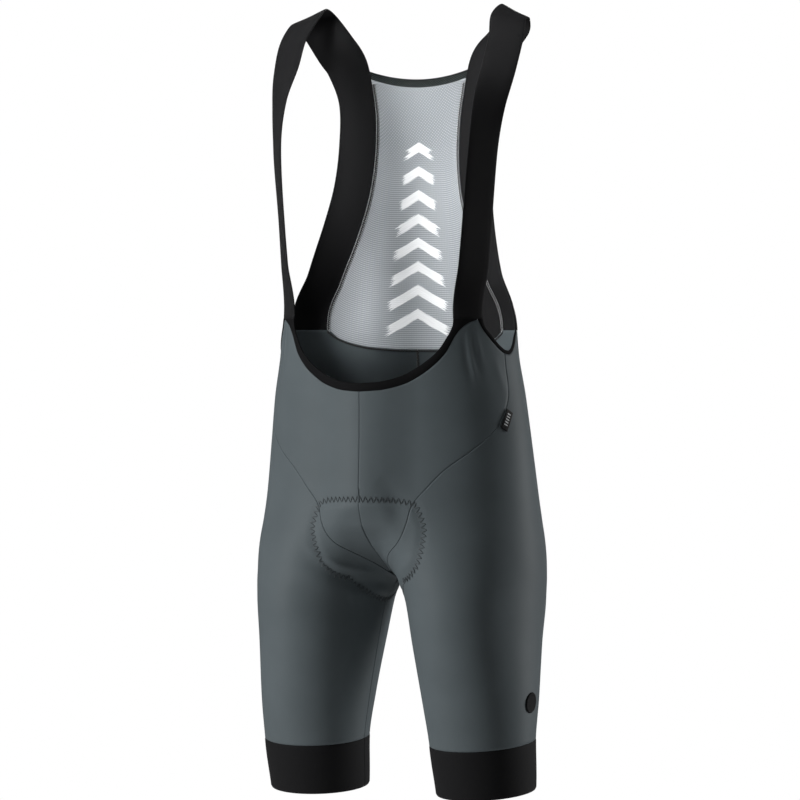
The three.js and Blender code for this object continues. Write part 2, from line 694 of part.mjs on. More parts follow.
// The back mesh: from the waist seam up between the straps' inner edges
const meshEdge = (share) => besideStrap(THREE.MathUtils.lerp(1, MESH_TOP_STATION, share));
const neckEdge = (height) => besideStrap(THREE.MathUtils.lerp(MESH_TOP_STATION, NECK_TOP_STATION, height));

function neckLine(across, height) {
  const end = neckEdge(height).point;
  const dip = NECK_DIP * (1 - across * across);
  return new THREE.Vector3(end.x * across, THREE.MathUtils.lerp(NECK_DEPTH, end.y, across * across), end.z - dip);
}

function backMesh() {
  const waist = movedEdge(BACK_WAIST, HALF_GAP, { first: UP, last: UP }).reverse();
  const columns = waist.length - 1;
  const corner = outlineAt(WAIST_SEAM).length;
  const low = waist.map(({ round, z }, column) => {
    const clear = column === columns ? SEAM_GAP / corner : 0;
    return bodyPoint(Math.min(round + clear, 1), z);
  });
  low[0].x = 0;
  const high = low.map((_, column) => neckLine(column / columns, 0));
  const centre = (share) => new THREE.Vector3(
    0,
    THREE.MathUtils.lerp(low[0].y, high[0].y, share),
    THREE.MathUtils.lerp(low[0].z, high[0].z, share),
  );
  const points = [];
  for (let row = 0; row <= BACK_STATIONS; row += 1) {
    const share = row / BACK_STATIONS;
    const edge = meshEdge(share).point;
    points.push(low.map((start, column) => {
      if (row === 0) return start.clone();
      if (row === BACK_STATIONS) return high[column].clone();
      const across = column / columns;
      const sides = centre(share).lerp(edge, across);
      const ends = start.clone().lerp(high[column], share);
      const corners = low[0].clone().lerp(low[columns], across)
        .lerp(high[0].clone().lerp(high[columns], across), share);
      const point = sides.add(ends).sub(corners);
      if (column === 0) point.x = 0;
      if (column === columns) point.copy(edge);
      return point;
    }));
  }
  const places = withNormals(points);
  places.forEach((line, row) => line[columns].normal.copy(meshEdge(row / BACK_STATIONS).normal));
  return wall(facingBack(bothSides(places)), 0, -MESH_CLOTH, { symmetric: true });
}

// Places from a grid of points whose first column lies on the middle plane
function withNormals(points) {
  const rows = points.length - 1;
  const columns = points[0].length - 1;
  return points.map((line, row) => line.map((point, column) => {
    const left = line[Math.max(column - 1, 0)];
    const right = line[Math.min(column + 1, columns)];
    const below = points[Math.max(row - 1, 0)][column];
    const above = points[Math.min(row + 1, rows)][column];
    const normal = above.clone().sub(below).cross(right.clone().sub(left));
    if (column === 0) normal.x = 0;
    return { point, normal: normal.normalize() };
  }));
}

function backNeckBinding() {
  const columns = BACK_WAIST.length - 1;
  const heights = [SEAM_GAP / NECK_BINDING_HEIGHT, 1];
  const points = heights.map((height) => {
    const line = [];
    for (let column = 0; column <= columns; column += 1) line.push(neckLine(column / columns, height));
    return line;
  });
  const places = withNormals(points);
  places.forEach((line, row) => line[columns].normal.copy(neckEdge(heights[row]).normal));
  return wall(facingBack(bothSides(places)), 0, -BAND_CLOTH, { symmetric: true });
}

// Columns run from the wearer's left to the right, so that the outer face looks backwards
function facingBack(grid) {
  return grid.map((line) => [...line].reverse());
}

// The seat pad lies inside the panels, thick in its middle and thin at its rim
function seatPad() {
  const seam = smoothTable(PAD_SEAM, 'step');
  const rim = smoothTable(PAD_RIM, 'step');
  const steps = PAD_RIM.length - 1;
  const half = steps / 2;
  const rows = 2 * steps;
  const lines = [];
  for (let cell = 0; cell <= PAD_CELLS; cell += 1) {
    const line = [];
    for (let row = 0; row <= rows; row += 1) {
      const step = row / rows * steps;
      const share = cell / PAD_CELLS;
      const z = THREE.MathUtils.lerp(seam(step).z, rim(step).z, share);
      const signed = rim(step).round * share;
      const onSeat = step > half;
      const place = onSeat ? bodyPlace(1 + signed, z) : bodyPlace(signed, z);
      if (cell === 0) {
        place.point.x = 0;
        place.normal.x = 0;
        place.normal.normalize();
      }
      line.push(place);
    }
    lines.push(line);
  }
  const grid = facingBack(bothSides(transposed(lines)));
  const outside = -(PANEL_CLOTH + PAD_CLEARANCE);
  const last = grid[0].length - 1;
  const thickness = (row, column) => {
    const acrossShare = Math.abs(column / last * 2 - 1);
    const alongShare = Math.abs(row / rows * 2 - 1);
    return PAD_EDGE + PAD_CROWN * (1 - acrossShare ** 4) * (1 - alongShare ** 4);
  };
  return wall(grid, outside, (row, column) => outside - thickness(row, column), { symmetric: true });
}

function transposed(lines) {
  return lines[0].map((_, column) => lines.map((line) => line[column]));
}

// A small patch laid on the outside, from flat millimetres round its place
function patchPlace({ round, z }, sideways, upwards) {
  return bodyPlace(round + sideways / outlineAt(z).length, z + upwards);
}

function sideTab() {
  const lean = THREE.MathUtils.degToRad(TAB_PLACE.lean);
  const grid = [];
  for (let row = 0; row <= 3; row += 1) {
    const line = [];
    for (let column = 0; column <= 2; column += 1) {
      const across = (column / 2 - 0.5) * TAB_WIDTH;
      const along = (row / 3 - 0.5) * TAB_LENGTH;
      const sideways = across * Math.cos(lean) + along * Math.sin(lean);
      const upwards = along * Math.cos(lean) - across * Math.sin(lean);
      line.push(patchPlace(TAB_PLACE, sideways, upwards));
    }
    grid.push(line);
  }
  return wall(grid, SEAM_GAP + TRIM_CLOTH, SEAM_GAP);
}

function thighDisc() {
  const sectors = 24;
  const outline = [];
  for (let i = 0; i < sectors; i += 1) {
    const angle = i / sectors * 2 * Math.PI;
    outline.push(patchPlace(DISC_PLACE, DISC_RADIUS * Math.cos(angle), DISC_RADIUS * Math.sin(angle)));
  }
  const centre = patchPlace(DISC_PLACE, 0, 0);
  const positions = [];
  const index = [];
  for (const distance of [SEAM_GAP + TRIM_CLOTH, SEAM_GAP]) {
    for (const { point } of [...outline, centre]) {
      const moved = point.clone().addScaledVector(centre.normal, distance);
      positions.push(moved.x, moved.y, moved.z);
    }
  }
  const layer = sectors + 1;
  for (let i = 0; i < sectors; i += 1) {
    const next = (i + 1) % sectors;
    index.push(sectors, i, next);
    index.push(layer + sectors, layer + next, layer + i);
    index.push(i, layer + i, layer + next, i, layer + next, next);
  }
  const geometry = new THREE.BufferGeometry();
  geometry.setAttribute('position', new THREE.Float32BufferAttribute(positions, 3));
  geometry.setIndex(index);
  geometry.computeVertexNormals();
  return geometry;
}

// Colours and finishes
const greyKnit = { color: 0x545c60, roughness: 0.6, metalness: 0 };
const blackBand = { color: 0x171717, roughness: 0.75, metalness: 0 };
const paleMesh = { color: 0xb6babd, roughness: 0.8, metalness: 0 };
const paddingFoam = { color: 0x24282a, roughness: 0.9, metalness: 0 };
const blackTrim = { color: 0x101112, roughness: 0.6, metalness: 0 };

const bibShorts = new THREE.Group();

function addPiece(name, geometry, finish) {
  const piece = new THREE.Mesh(geometry, new THREE.MeshStandardMaterial({ ...finish, side: THREE.DoubleSide }));
  piece.name = name;
  bibShorts.add(piece);
}

function addPair(name, geometry, finish) {
  addPiece(`${name}_left`, geometry, finish);
  addPiece(`${name}_right`, mirrored(geometry), finish);
}

addPair('front_panel', frontPanel(), greyKnit);
addPair('leg_panel', legPanel(), greyKnit);
addPair('gripper', gripper(), blackBand);
addPiece('scoop_binding', scoopBinding(), blackBand);
addPair('armhole_binding', armholeBinding(), blackBand);
addPair('strap', strap(), blackBand);
addPiece('back_mesh', backMesh(), paleMesh);
addPiece('back_neck_binding', backNeckBinding(), blackBand);
addPiece('seat_pad', seatPad(), paddingFoam);
addPiece('side_label', sideTab(), blackTrim);
addPiece('thigh_disc', thighDisc(), blackTrim);

export default bibShorts;
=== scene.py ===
import math

import bpy
import numpy as np
from bpy.props import FloatProperty, FloatVectorProperty, PointerProperty
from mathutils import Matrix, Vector


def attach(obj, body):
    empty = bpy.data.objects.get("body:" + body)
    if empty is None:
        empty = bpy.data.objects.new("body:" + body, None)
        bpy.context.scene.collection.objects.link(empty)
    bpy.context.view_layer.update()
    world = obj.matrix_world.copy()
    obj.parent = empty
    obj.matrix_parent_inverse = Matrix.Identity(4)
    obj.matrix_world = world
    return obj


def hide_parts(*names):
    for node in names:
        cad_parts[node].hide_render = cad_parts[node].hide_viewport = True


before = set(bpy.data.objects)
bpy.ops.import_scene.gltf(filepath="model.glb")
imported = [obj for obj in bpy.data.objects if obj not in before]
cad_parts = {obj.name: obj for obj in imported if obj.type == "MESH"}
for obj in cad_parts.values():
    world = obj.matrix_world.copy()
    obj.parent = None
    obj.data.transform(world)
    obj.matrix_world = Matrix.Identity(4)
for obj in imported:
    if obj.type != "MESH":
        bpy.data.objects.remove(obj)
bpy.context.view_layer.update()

bl_info = {
    "name": "Cycling bib shorts",
    "version": (1, 0, 0),
    "blender": (4, 5, 0),
    "location": "View3D > Sidebar > Bib shorts",
    "description": "Sews the cloth, bindings, stitching and studio of a pair of cycling bib shorts",
    "category": "Object",
}

# The garment is worked out in millimetres, +Z up, front towards -Y, the wearer's left towards +X.
MM = 0.001

# Main levels, down from the strap tops
HEM = -884
GRIPPER_TOP = -827
CROTCH = -644
PANEL_TIP = -636
WAIST_SEAM = -366
STRAP_START = -353
NECK_EDGE = -71
NECK_BINDING_HEIGHT = 9.5
NECK_DIP = 10
NECK_DEPTH = 50
ARMHOLE_BINDING_WIDTH = 4.5
SEAM_GAP = 0.3
HALF_GAP = SEAM_GAP / 2

# Half sections of the body from the hem up: depth forward of the side line for cf and fd, and
# behind it for bd and cb. A half section runs from the centre front (ix, cf) by the frontmost
# point (fx, fd), the widest point (ox, oy) and the rearmost point (bx, bd) to the centre back
# (ix, cb). ridge is what the centre front stands out. turn is 0 where the section leaves the
# centre seam sideways and 1 where it leaves it along the inseam.
SECTION_COLUMNS = ("z", "ix", "cf", "fx", "fd", "ox", "oy", "bx", "bd", "cb", "ridge", "turn")
HALF_SECTIONS = [
    (-900, 48, -5, 103.5, 50, 159, 6, 103.5, 62, 5, 0, 1),
    (-884, 47.5, -4, 103.5, 52, 159.5, 5, 103.5, 61, 4, 0, 1),
    (-827, 43.5, 5, 103, 65, 162.5, -4, 103, 57, -5, 0, 1),
    (-780, 37, 5, 101, 76, 165, -3, 101, 67, -5, 0, 1),
    (-716, 26, 4, 96.5, 89, 166, 0, 96.5, 81, -4, 0, 1),
    (-672, 18, 2, 93.5, 96, 168, 2, 94, 93, -2, 0, 0.98),
    (-656, 10.5, 1, 91, 96.5, 168.5, 2, 93, 95, -1, 0, 0.92),
    (-648, 5.5, 0, 88.5, 96.5, 169, 2, 92, 96, 0, 0, 0.85),
    (-644, 0, 0, 87, 96.3, 169, 2, 91, 96.4, 0, 0, 0.8),
    (-642, 0, 12, 86.2, 96.1, 169, 2, 90.5, 96.6, 14, 0, 0.72),
    (-638, 0, 22, 85, 95.9, 169, 2, 90, 96.8, 27, 0.5, 0.66),
    (-632, 0, 32, 83.5, 95.7, 169, 2, 89, 97, 39, 1, 0.61),
    (-618, 0, 52, 80, 95.6, 168.5, 2, 86, 98, 60, 4, 0.55),
    (-601, 0, 73, 72, 95.6, 167, 2, 82, 98, 79, 9, 0.38),
    (-580, 0, 89, 55, 96, 164, 2, 77, 97, 90, 14, 0.12),
    (-550, 0, 97, 34, 97, 160.5, 2, 72, 92, 89, 15, 0),
    (-490, 0, 97, 22, 97, 155, 1, 70, 75, 72, 13, 0),
    (-440, 0, 98, 18, 98, 150, 0, 70, 59, 56, 12, 0),
    (-391, 0, 99, 16, 99, 142.5, 0, 70, 47, 46, 12, 0),
    (-340, 0, 100, 15, 100, 139, 0, 68, 44, 43, 12, 0),
]
RIDGE_REACH = 65
ROUNDNESS = 0.55
LEG_TILT = {"start": 672, "end": 800, "front_drop": 0.12, "outside_rise": 0.02, "x": 100, "y": -2}

# Edges of the panels. share is the share of the way round the half section, 0 at the centre
# front and 1 at the centre back.
DIAGONAL_SEAM = [  # z, share
    (-644, 0.0), (-636, 0.009), (-626, 0.026), (-615, 0.054), (-602, 0.09), (-584, 0.115),
    (-560, 0.14), (-540, 0.184), (-520, 0.236), (-500, 0.31), (-484, 0.365), (-468, 0.41),
    (-436, 0.458), (-393, 0.475),
]
SCOOP_EDGE = [  # share, z
    (0, -434), (0.06, -432.5), (0.133, -426), (0.187, -416), (0.23, -405), (0.27, -391),
    (0.305, -371), (0.323, -364), (0.347, -358), (0.38, -354),
]
SCOOP_INNER_EDGE = [  # share, z
    (0, -424.5), (0.058, -423), (0.125, -417), (0.172, -408.5), (0.212, -399), (0.247, -388),
    (0.278, -372.5), (0.291, -365), (0.298, -359), (0.3, -353.3),
]
ARMHOLE_FRONT = [  # share, z
    (0.38, -354), (0.393, -363.5), (0.414, -373), (0.437, -382), (0.457, -388.3), (0.475, -392),
]
ARMHOLE_BACK = [  # share, z
    (0.475, -392), (0.494, -393), (0.513, -390.5), (0.531, -384), (0.546, -375), (0.56, -366),
]
BACK_WAIST = [  # share, z
    (0.685, -366), (0.728, -376), (0.78, -382), (0.835, -385.5), (0.89, -387), (0.945, -388),
    (1, -388),
]
STRAP_FOOT = (0.56, 0.685)
STRAP_START_SHARES = (0.3, 0.398)
STRAP_BLEND = 0.08
STRAP_REACH = 0.03

# The left strap's middle line from the front peak over the shoulder to the back waist. turn is
# the plan angle from +X of the line across the strap, drop how far its outer edge lies lower.
STRAP_LINE = [  # x, y, z, turn, drop, width
    (113.5, -60, -353, 46, 0, 37),
    (115, -60.5, -325, 52, 0, 38),
    (121, -60, -250, 55, 0, 38),
    (128, -58, -160, 52, 0, 37),
    (130.5, -47, -112, 42, 2, 37),
    (132.5, -24.5, -69.5, 19, 5, 38),
    (132.5, -6.5, -37, 8.5, 13.5, 39),
    (127, 13, -14, -4, 19.5, 40),
    (127.5, 31.5, -8, -17, 24, 40.5),
    (123.5, 47, -19.5, -23, 26, 44),
    (102.5, 44, -45.5, -15, 24, 47),
    (89, 44.5, -64, -7, 19, 48),
    (77, 45.5, -105, -7, 10.5, 42),
    (74, 41.5, -155, -8, 2, 43),
    (78, 35.5, -205, -12, 0, 42),
    (88.5, 28.5, -250, -24, 0, 40),
    (105, 22, -300, -40, 0, 39),
    (118.5, 20.5, -340, -48, 0, 40),
    (125.5, 21, -366, -52, 0, 41),
]

# The stitched outline of the seat pad on the left half. share is counted back from the centre
# back, and is negative, on the seat.
PAD_OUTLINE = [  # step, share, z
    (0, 0, -553.5), (1, 0.034, -554), (2, 0.093, -555), (3, 0.136, -559), (4, 0.147, -571),
    (5, 0.153, -586), (6, 0.149, -600), (7, 0.151, -613), (8, 0.156, -627), (9, 0.15, -640),
    (10, 0.1, -656), (11, 0.05, -666), (12, 0, -671), (13, -0.05, -666), (14, -0.1, -654),
    (15, -0.14, -636), (16, -0.158, -615), (17, -0.15, -592), (18, -0.13, -571), (19, -0.08, -558),
    (20, 0, -553),
]
PAD_SEAM = [  # step, z
    (0, -553), (1, -575), (2, -594), (3, -611), (4, -628), (5, -644), (6, -628), (7, -611),
    (8, -594), (9, -575), (10, -556),
]
PAD_RIM = [  # step, share, z
    (0, 0.1, -553), (1, 0.148, -567), (2, 0.156, -590), (3, 0.132, -614), (4, 0.092, -640),
    (5, 0, -668), (6, -0.09, -640), (7, -0.13, -616), (8, -0.15, -592), (9, -0.14, -570),
    (10, -0.09, -556),
]

TAB_PLACE = {"share": 0.433, "z": -466, "lean": 32}
TAB_LENGTH = 24
TAB_WIDTH = 9
TAB_THICKNESS = 0.0009
TAB_OUT = 1.3
TAB_CROWN = 0.35
DISC_PLACE = {"share": 0.485, "z": -781.5}
DISC_RADIUS = 11.5
DISC_PROFILE = [  # share of the radius, height
    (0, 0.75), (0.35, 0.75), (0.62, 0.75), (0.7, 0.8), (0.76, 1.1), (0.86, 1.25), (0.94, 1.1), (1, 0.45),
]
DISC_SECTORS = 48
DISC_OUT = 0.3

# Creases: side 1 is the wearer's left. depth is positive for a ridge and negative
# for a trough, width is how far it spreads either way, and points are (share, z).
CREASES = [  # side, depth, width, points
    (-1, 1.6, 5, [(0.17, -606), (0.14, -622), (0.09, -633), (0.045, -636)]),
    (-1, -3.2, 9, [(0.19, -622), (0.15, -640), (0.09, -650), (0.03, -652)]),
    (-1, 1.2, 14, [(0.03, -560), (0.06, -585), (0.05, -605)]),
    (1, -2.0, 12, [(0.05, -530), (0.09, -548), (0.1, -566), (0.07, -590)]),
    (1, 1.4, 8, [(0.06, -604), (0.05, -618), (0.035, -632)]),
    (1, 0.9, 7, [(0.17, -612), (0.13, -628), (0.08, -638)]),
    (1, 1.1, 3.5, [(0.345, -366), (0.348, -392), (0.356, -425)]),
    (1, -0.8, 3.5, [(0.357, -362), (0.361, -388), (0.37, -418)]),
    (1, 0.8, 3.5, [(0.369, -361), (0.376, -384), (0.386, -408)]),
    (1, -0.7, 4, [(0.331, -372), (0.334, -398), (0.338, -430)]),
    (1, 0.6, 5, [(0.43, -394), (0.436, -412), (0.445, -436)]),
    (-1, 0.7, 4, [(0.345, -364), (0.348, -388), (0.352, -412)]),
    (-1, -0.6, 4, [(0.362, -362), (0.366, -386), (0.374, -404)]),
    (1, -1.2, 9, [(0.97, -622), (0.9, -640), (0.82, -646), (0.75, -642)]),
    (-1, -1.4, 9, [(0.96, -620), (0.89, -638), (0.8, -644), (0.72, -638)]),
    (1, 0.8, 7, [(0.95, -655), (0.86, -664), (0.78, -662)]),
    (-1, 0.9, 8, [(0.94, -652), (0.87, -660), (0.8, -661)]),
]

# The fitted view of the photograph, in metres
CAMERA_PLACE = (2.324, -4.985, -0.349)
CAMERA_TARGET = (0, 0, -0.445)
FRAME_WIDTH = 0.904
CAMERA_DISTANCE = 5.501
SENSOR = 36
SUBJECT_SHIFT = 1 / 800


def linear(code):
    """A colour's sRGB hex code as linear red, green, blue and full alpha."""
    parts = [int(code[i:i + 2], 16) / 255 for i in (1, 3, 5)]
    return tuple(c / 12.92 if c <= 0.04045 else ((c + 0.055) / 1.055) ** 2.4 for c in parts) + (1.0,)


# Curves and surfaces of the garment


def smooth_table(rows):
    """Curves without overshoot through a table's columns, by the value of its first column."""
    data = np.array(rows, float)
    key = data[:, 0]
    values = data[:, 1:]
    steps = np.diff(values, axis=0) / np.diff(key)[:, None]
    slopes = np.zeros_like(values)
    slopes[0] = steps[0]
    slopes[-1] = steps[-1]
    before, after = steps[:-1], steps[1:]
    total = before + after
    mean = 2 * before * after / np.where(total == 0, 1, total)
    slopes[1:-1] = np.where(before * after <= 0, 0, mean)

    def at(value):
        value = np.asarray(value, float)
        i = np.clip(np.searchsorted(key, value, side="right") - 1, 0, len(key) - 2)
        span = (key[i + 1] - key[i])[..., None]
        t = np.clip((value[..., None] - key[i][..., None]) / span, 0, 1)
        held = values[i] * (1 + 2 * t) * (1 - t) ** 2 + values[i + 1] * t * t * (3 - 2 * t)
        return held + span * t * (1 - t) * (slopes[i] * (1 - t) - slopes[i + 1] * t)

    return at


def smoothstep(value, low, high):
    t = np.clip((np.asarray(value, float) - low) / (high - low), 0, 1)
    return t * t * (3 - 2 * t)


def mix(a, b, t):
    return a + (b - a) * t


def bezier(corners, steps):
    """Points of cubic curves whose four corners are given for every level."""
    t = np.linspace(0, 1, steps + 1)[None, :, None]
    a, b, c, d = (corner[:, None, :] for corner in corners)
    return (1 - t) ** 3 * a + 3 * (1 - t) ** 2 * t * b + 3 * (1 - t) * t * t * c + t ** 3 * d


LEVEL_STEP = 0.5
SHARE_STEPS = 960
QUARTER_STEPS = 60


def body_levels():
    """The half section at every level, as points evenly spaced round it, and its length."""
    low, high = HALF_SECTIONS[0][0], HALF_SECTIONS[-1][0]
    levels = np.arange(low, high + LEVEL_STEP / 2, LEVEL_STEP)
    at = smooth_table(HALF_SECTIONS)(levels)
    s = dict(zip(SECTION_COLUMNS[1:], at.T))
    sideways = ROUNDNESS * np.cos(s["turn"] * math.pi / 2)
    along = ROUNDNESS * np.sin(s["turn"] * math.pi / 2)

    def place(x, y):
        return np.stack([x, y], axis=1)

    front = (
        place(s["ix"], -s["cf"]),
        place(s["ix"] + sideways * (s["fx"] - s["ix"]), -s["cf"] - along * (s["fd"] - s["cf"])),
        place(s["fx"] - ROUNDNESS * (s["fx"] - s["ix"]), -s["fd"]),
        place(s["fx"], -s["fd"]),
    )
    front_side = (
        front[3],
        place(s["fx"] + ROUNDNESS * (s["ox"] - s["fx"]), -s["fd"]),
        place(s["ox"], s["oy"] - ROUNDNESS * (s["fd"] + s["oy"])),
        place(s["ox"], s["oy"]),
    )
    back_side = (
        front_side[3],
        place(s["ox"], s["oy"] + ROUNDNESS * (s["bd"] - s["oy"])),
        place(s["bx"] + ROUNDNESS * (s["ox"] - s["bx"]), s["bd"]),
        place(s["bx"], s["bd"]),
    )
    back = (
        back_side[3],
        place(s["bx"] - ROUNDNESS * (s["bx"] - s["ix"]), s["bd"]),
        place(s["ix"] + sideways * (s["bx"] - s["ix"]), s["cb"] + along * (s["bd"] - s["cb"])),
        place(s["ix"], s["cb"]),
    )
    first = bezier(front, QUARTER_STEPS)
    rest = [bezier(part, QUARTER_STEPS)[:, 1:] for part in (front_side, back_side, back)]
    points = np.concatenate([first] + rest, axis=1)
    x = points[:, :, 0]
    in_front = np.arange(x.shape[1]) < 2 * QUARTER_STEPS
    rise = s["ridge"][:, None] * (1 + np.cos(np.pi * np.minimum(x, RIDGE_REACH) / RIDGE_REACH)) / 2
    points[:, :, 1] -= np.where(in_front, rise, 0)
    walked = np.cumsum(np.linalg.norm(np.diff(points, axis=1), axis=2), axis=1)
    walked = np.concatenate([np.zeros((len(levels), 1)), walked], axis=1)
    shares = np.linspace(0, 1, SHARE_STEPS + 1)
    even = np.empty((len(levels), SHARE_STEPS + 1, 2))
    for i, line in enumerate(points):
        for axis in (0, 1):
            even[i, :, axis] = np.interp(shares * walked[i, -1], walked[i], line[:, axis])
    return levels, even, walked[:, -1]


LEVELS, LEVEL_POINTS, LEVEL_LENGTHS = body_levels()


def half_length(z):
    """Length of the half section at a level."""
    return np.interp(z, LEVELS, LEVEL_LENGTHS)


def body_point(share, z):
    """Points of the left half's outer face."""
    share, z = np.broadcast_arrays(np.clip(np.asarray(share, float), 0, 1), np.asarray(z, float))
    row = np.clip((z - LEVELS[0]) / LEVEL_STEP, 0, len(LEVELS) - 1.001)
    column = np.minimum(share * SHARE_STEPS, SHARE_STEPS - 0.001)
    i, j = row.astype(int), column.astype(int)
    v, u = (row - i)[..., None], (column - j)[..., None]
    low = mix(LEVEL_POINTS[i, j], LEVEL_POINTS[i, j + 1], u)
    high = mix(LEVEL_POINTS[i + 1, j], LEVEL_POINTS[i + 1, j + 1], u)
    flat = mix(low, high, v)
    tilt = smoothstep(-z, LEG_TILT["start"], LEG_TILT["end"])
    drop = LEG_TILT["front_drop"] * (flat[..., 1] - LEG_TILT["y"])
    rise = LEG_TILT["outside_rise"] * (flat[..., 0] - LEG_TILT["x"])
    return np.concatenate([flat, (z + tilt * (drop + rise))[..., None]], axis=-1)


def unit(vectors):
    return vectors / np.maximum(np.linalg.norm(vectors, axis=-1, keepdims=True), 1e-9)


def body_normal(share, z):
    """Outward directions on the left half's outer face."""
    share, z = np.broadcast_arrays(np.asarray(share, float), np.asarray(z, float))
    step, lift = 0.006, 2.0
    closed = z < CROTCH
    after = np.where(closed, (share + step) % 1, np.minimum(share + step, 1))
    before = np.where(closed, (share - step) % 1, np.maximum(share - step, 0))
    around = body_point(after, z) - body_point(before, z)
    up = body_point(share, z + lift) - body_point(share, z - lift)
    normal = np.cross(around, up)
    centre = ~closed & ((share < step / 2) | (share > 1 - step / 2))
    normal[..., 0] = np.where(centre, 0, normal[..., 0])
    return unit(normal)


SIDES = (("left", 1), ("right", -1))


def on_side(points, side):
    """Points or directions of the left half carried over to one side."""
    turned = np.array(points, float)
    turned[..., 0] *= side
    return turned


def beside_diagonal(z, side):
    """Share of the way round at which a panel's edge runs beside the diagonal seam."""
    diagonal = smooth_table(DIAGONAL_SEAM)
    z = np.asarray(z, float)
    tip = PANEL_TIP + 1e-6
    held = np.maximum(z, tip) if side > 0 else z
    here = diagonal(held)[..., 0] * half_length(held)
    above = diagonal(held + 1)[..., 0] * half_length(held + 1)
    edge = (here + side * HALF_GAP * np.hypot(1, above - here)) / half_length(held)
    if side < 0:
        return edge
    return edge * np.clip((z - CROTCH) / (PANEL_TIP - CROTCH), 0, 1)


# Meshes


def grid_quads(rows, columns, turned=False):
    """Quads over a grid of points, facing column direction crossed with row direction."""
    at = np.arange(rows * columns).reshape(rows, columns)
    quads = np.stack([at[:-1, :-1], at[:-1, 1:], at[1:, 1:], at[1:, :-1]], axis=-1).reshape(-1, 4)
    return quads[:, ::-1] if turned else quads


def vertex_normals(points, quads):
    corners = points[quads]
    face = np.cross(corners[:, 2] - corners[:, 0], corners[:, 3] - corners[:, 1])
    total = np.zeros_like(points)
    for i in range(4):
        np.add.at(total, quads[:, i], face)
    return unit(total)


def open_edges(quads, count):
    """The edges that only one quad of a sheet has, in that quad's direction."""
    edges = np.concatenate([quads[:, [i, (i + 1) % 4]] for i in range(4)])
    code = edges[:, 0] * count + edges[:, 1]
    back = edges[:, 1] * count + edges[:, 0]
    return edges[~np.isin(code, back)]


RIM_FULLNESS = 0.35


def shell(points, quads, thickness):
    """A sheet's points and quads given a thickness inwards and a rounded rim."""
    normals = vertex_normals(points, quads)
    count = len(points)
    rim = open_edges(quads, count)
    along = points[rim[:, 1]] - points[rim[:, 0]]
    outward = np.zeros_like(points)
    for end in (0, 1):
        np.add.at(outward, rim[:, end], np.cross(along, normals[rim[:, end]]))
    on_rim = np.unique(rim)
    middle = points[on_rim] - normals[on_rim] * thickness / 2
    middle += unit(outward[on_rim]) * thickness * RIM_FULLNESS
    place = np.zeros(count, int)
    place[on_rim] = 2 * count + np.arange(len(on_rim))
    a, b = rim[:, 0], rim[:, 1]
    every = np.concatenate([points, points - normals * thickness, middle])
    faces = np.concatenate([
        quads,
        quads[:, ::-1] + count,
        np.stack([b, a, place[a], place[b]], axis=1),
        np.stack([place[b], place[a], a + count, b + count], axis=1),
    ])
    source = np.concatenate([np.arange(count), np.arange(count), on_rim])
    return every, faces, source


def new_object(name, data):
    """An object in the scene that holds a mesh, a light or a camera."""
    made = bpy.data.objects.new(name, data)
    bpy.context.scene.collection.objects.link(made)
    return made


def make_object(name, points, faces, cloth=None, material=None):
    """A smooth mesh object from points in millimetres, with the flat cloth's places as its UV map."""
    mesh = bpy.data.meshes.new(name)
    mesh.from_pydata((np.asarray(points) * MM).tolist(), [], [list(map(int, face)) for face in faces])
    mesh.polygons.foreach_set("use_smooth", [True] * len(mesh.polygons))
    if cloth is not None:
        layer = mesh.uv_layers.new(name="cloth")
        index = np.empty(len(mesh.loops), np.int32)
        mesh.loops.foreach_get("vertex_index", index)
        layer.data.foreach_set("uv", (np.asarray(cloth)[index] * MM).astype(np.float32).ravel())
    if material is not None:
        mesh.materials.append(material)
    mesh.validate()
    mesh.update()
    return new_object(name, mesh)


def cloth_piece(name, grid, flat, thickness, material, turned=False):
    """A cloth wall over a grid of points in millimetres, standing for the CAD node of its name."""
    rows, columns = grid.shape[:2]
    points = grid.reshape(-1, 3)
    every, faces, source = shell(points, grid_quads(rows, columns, turned), thickness / MM)
    piece = make_object(name + "_cloth", every, faces, flat.reshape(-1, 2)[source], material)
    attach(piece, "root")
    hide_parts(name)
    return piece


def cut_edges(cells, length, fine):
    """Shares across a panel with extra ones near both edges, fine being distances in millimetres."""
    even = np.linspace(0, 1, cells + 1)
    close = np.array(fine) / length
    middle = even[(even > close[-1] * 1.3) & (even < 1 - close[-1] * 1.3)]
    return np.concatenate([[0], close, middle, 1 - close[::-1], [1]])


SEAM_LINES = (0.35, 0.7, 1.05, 1.4, 2.2, 3.4)


def turned_in(distance, depth=0.5, reach=1.2):
    """How far a panel's edge turns inwards at a seam."""
    return -depth * np.clip(1 - distance / reach, 0, 1) ** 2


PATH_SPACING = 1.5


def path_between(points):
    """(share, z) corners as a close line of places."""
    rows = [(i,) + tuple(point) for i, point in enumerate(points)]
    curve = smooth_table(rows)
    coarse = curve(np.linspace(0, len(rows) - 1, 400))
    flat = np.stack([coarse[:, 0] * half_length(coarse[:, 1]), coarse[:, 1]], axis=1)
    walked = np.concatenate([[0], np.cumsum(np.linalg.norm(np.diff(flat, axis=0), axis=1))])
    count = max(int(walked[-1] / PATH_SPACING), 2)
    even = np.linspace(0, walked[-1], count + 1)
    return np.stack([np.interp(even, walked, coarse[:, i]) for i in (0, 1)], axis=1)


NEAR_REACH = 30.0


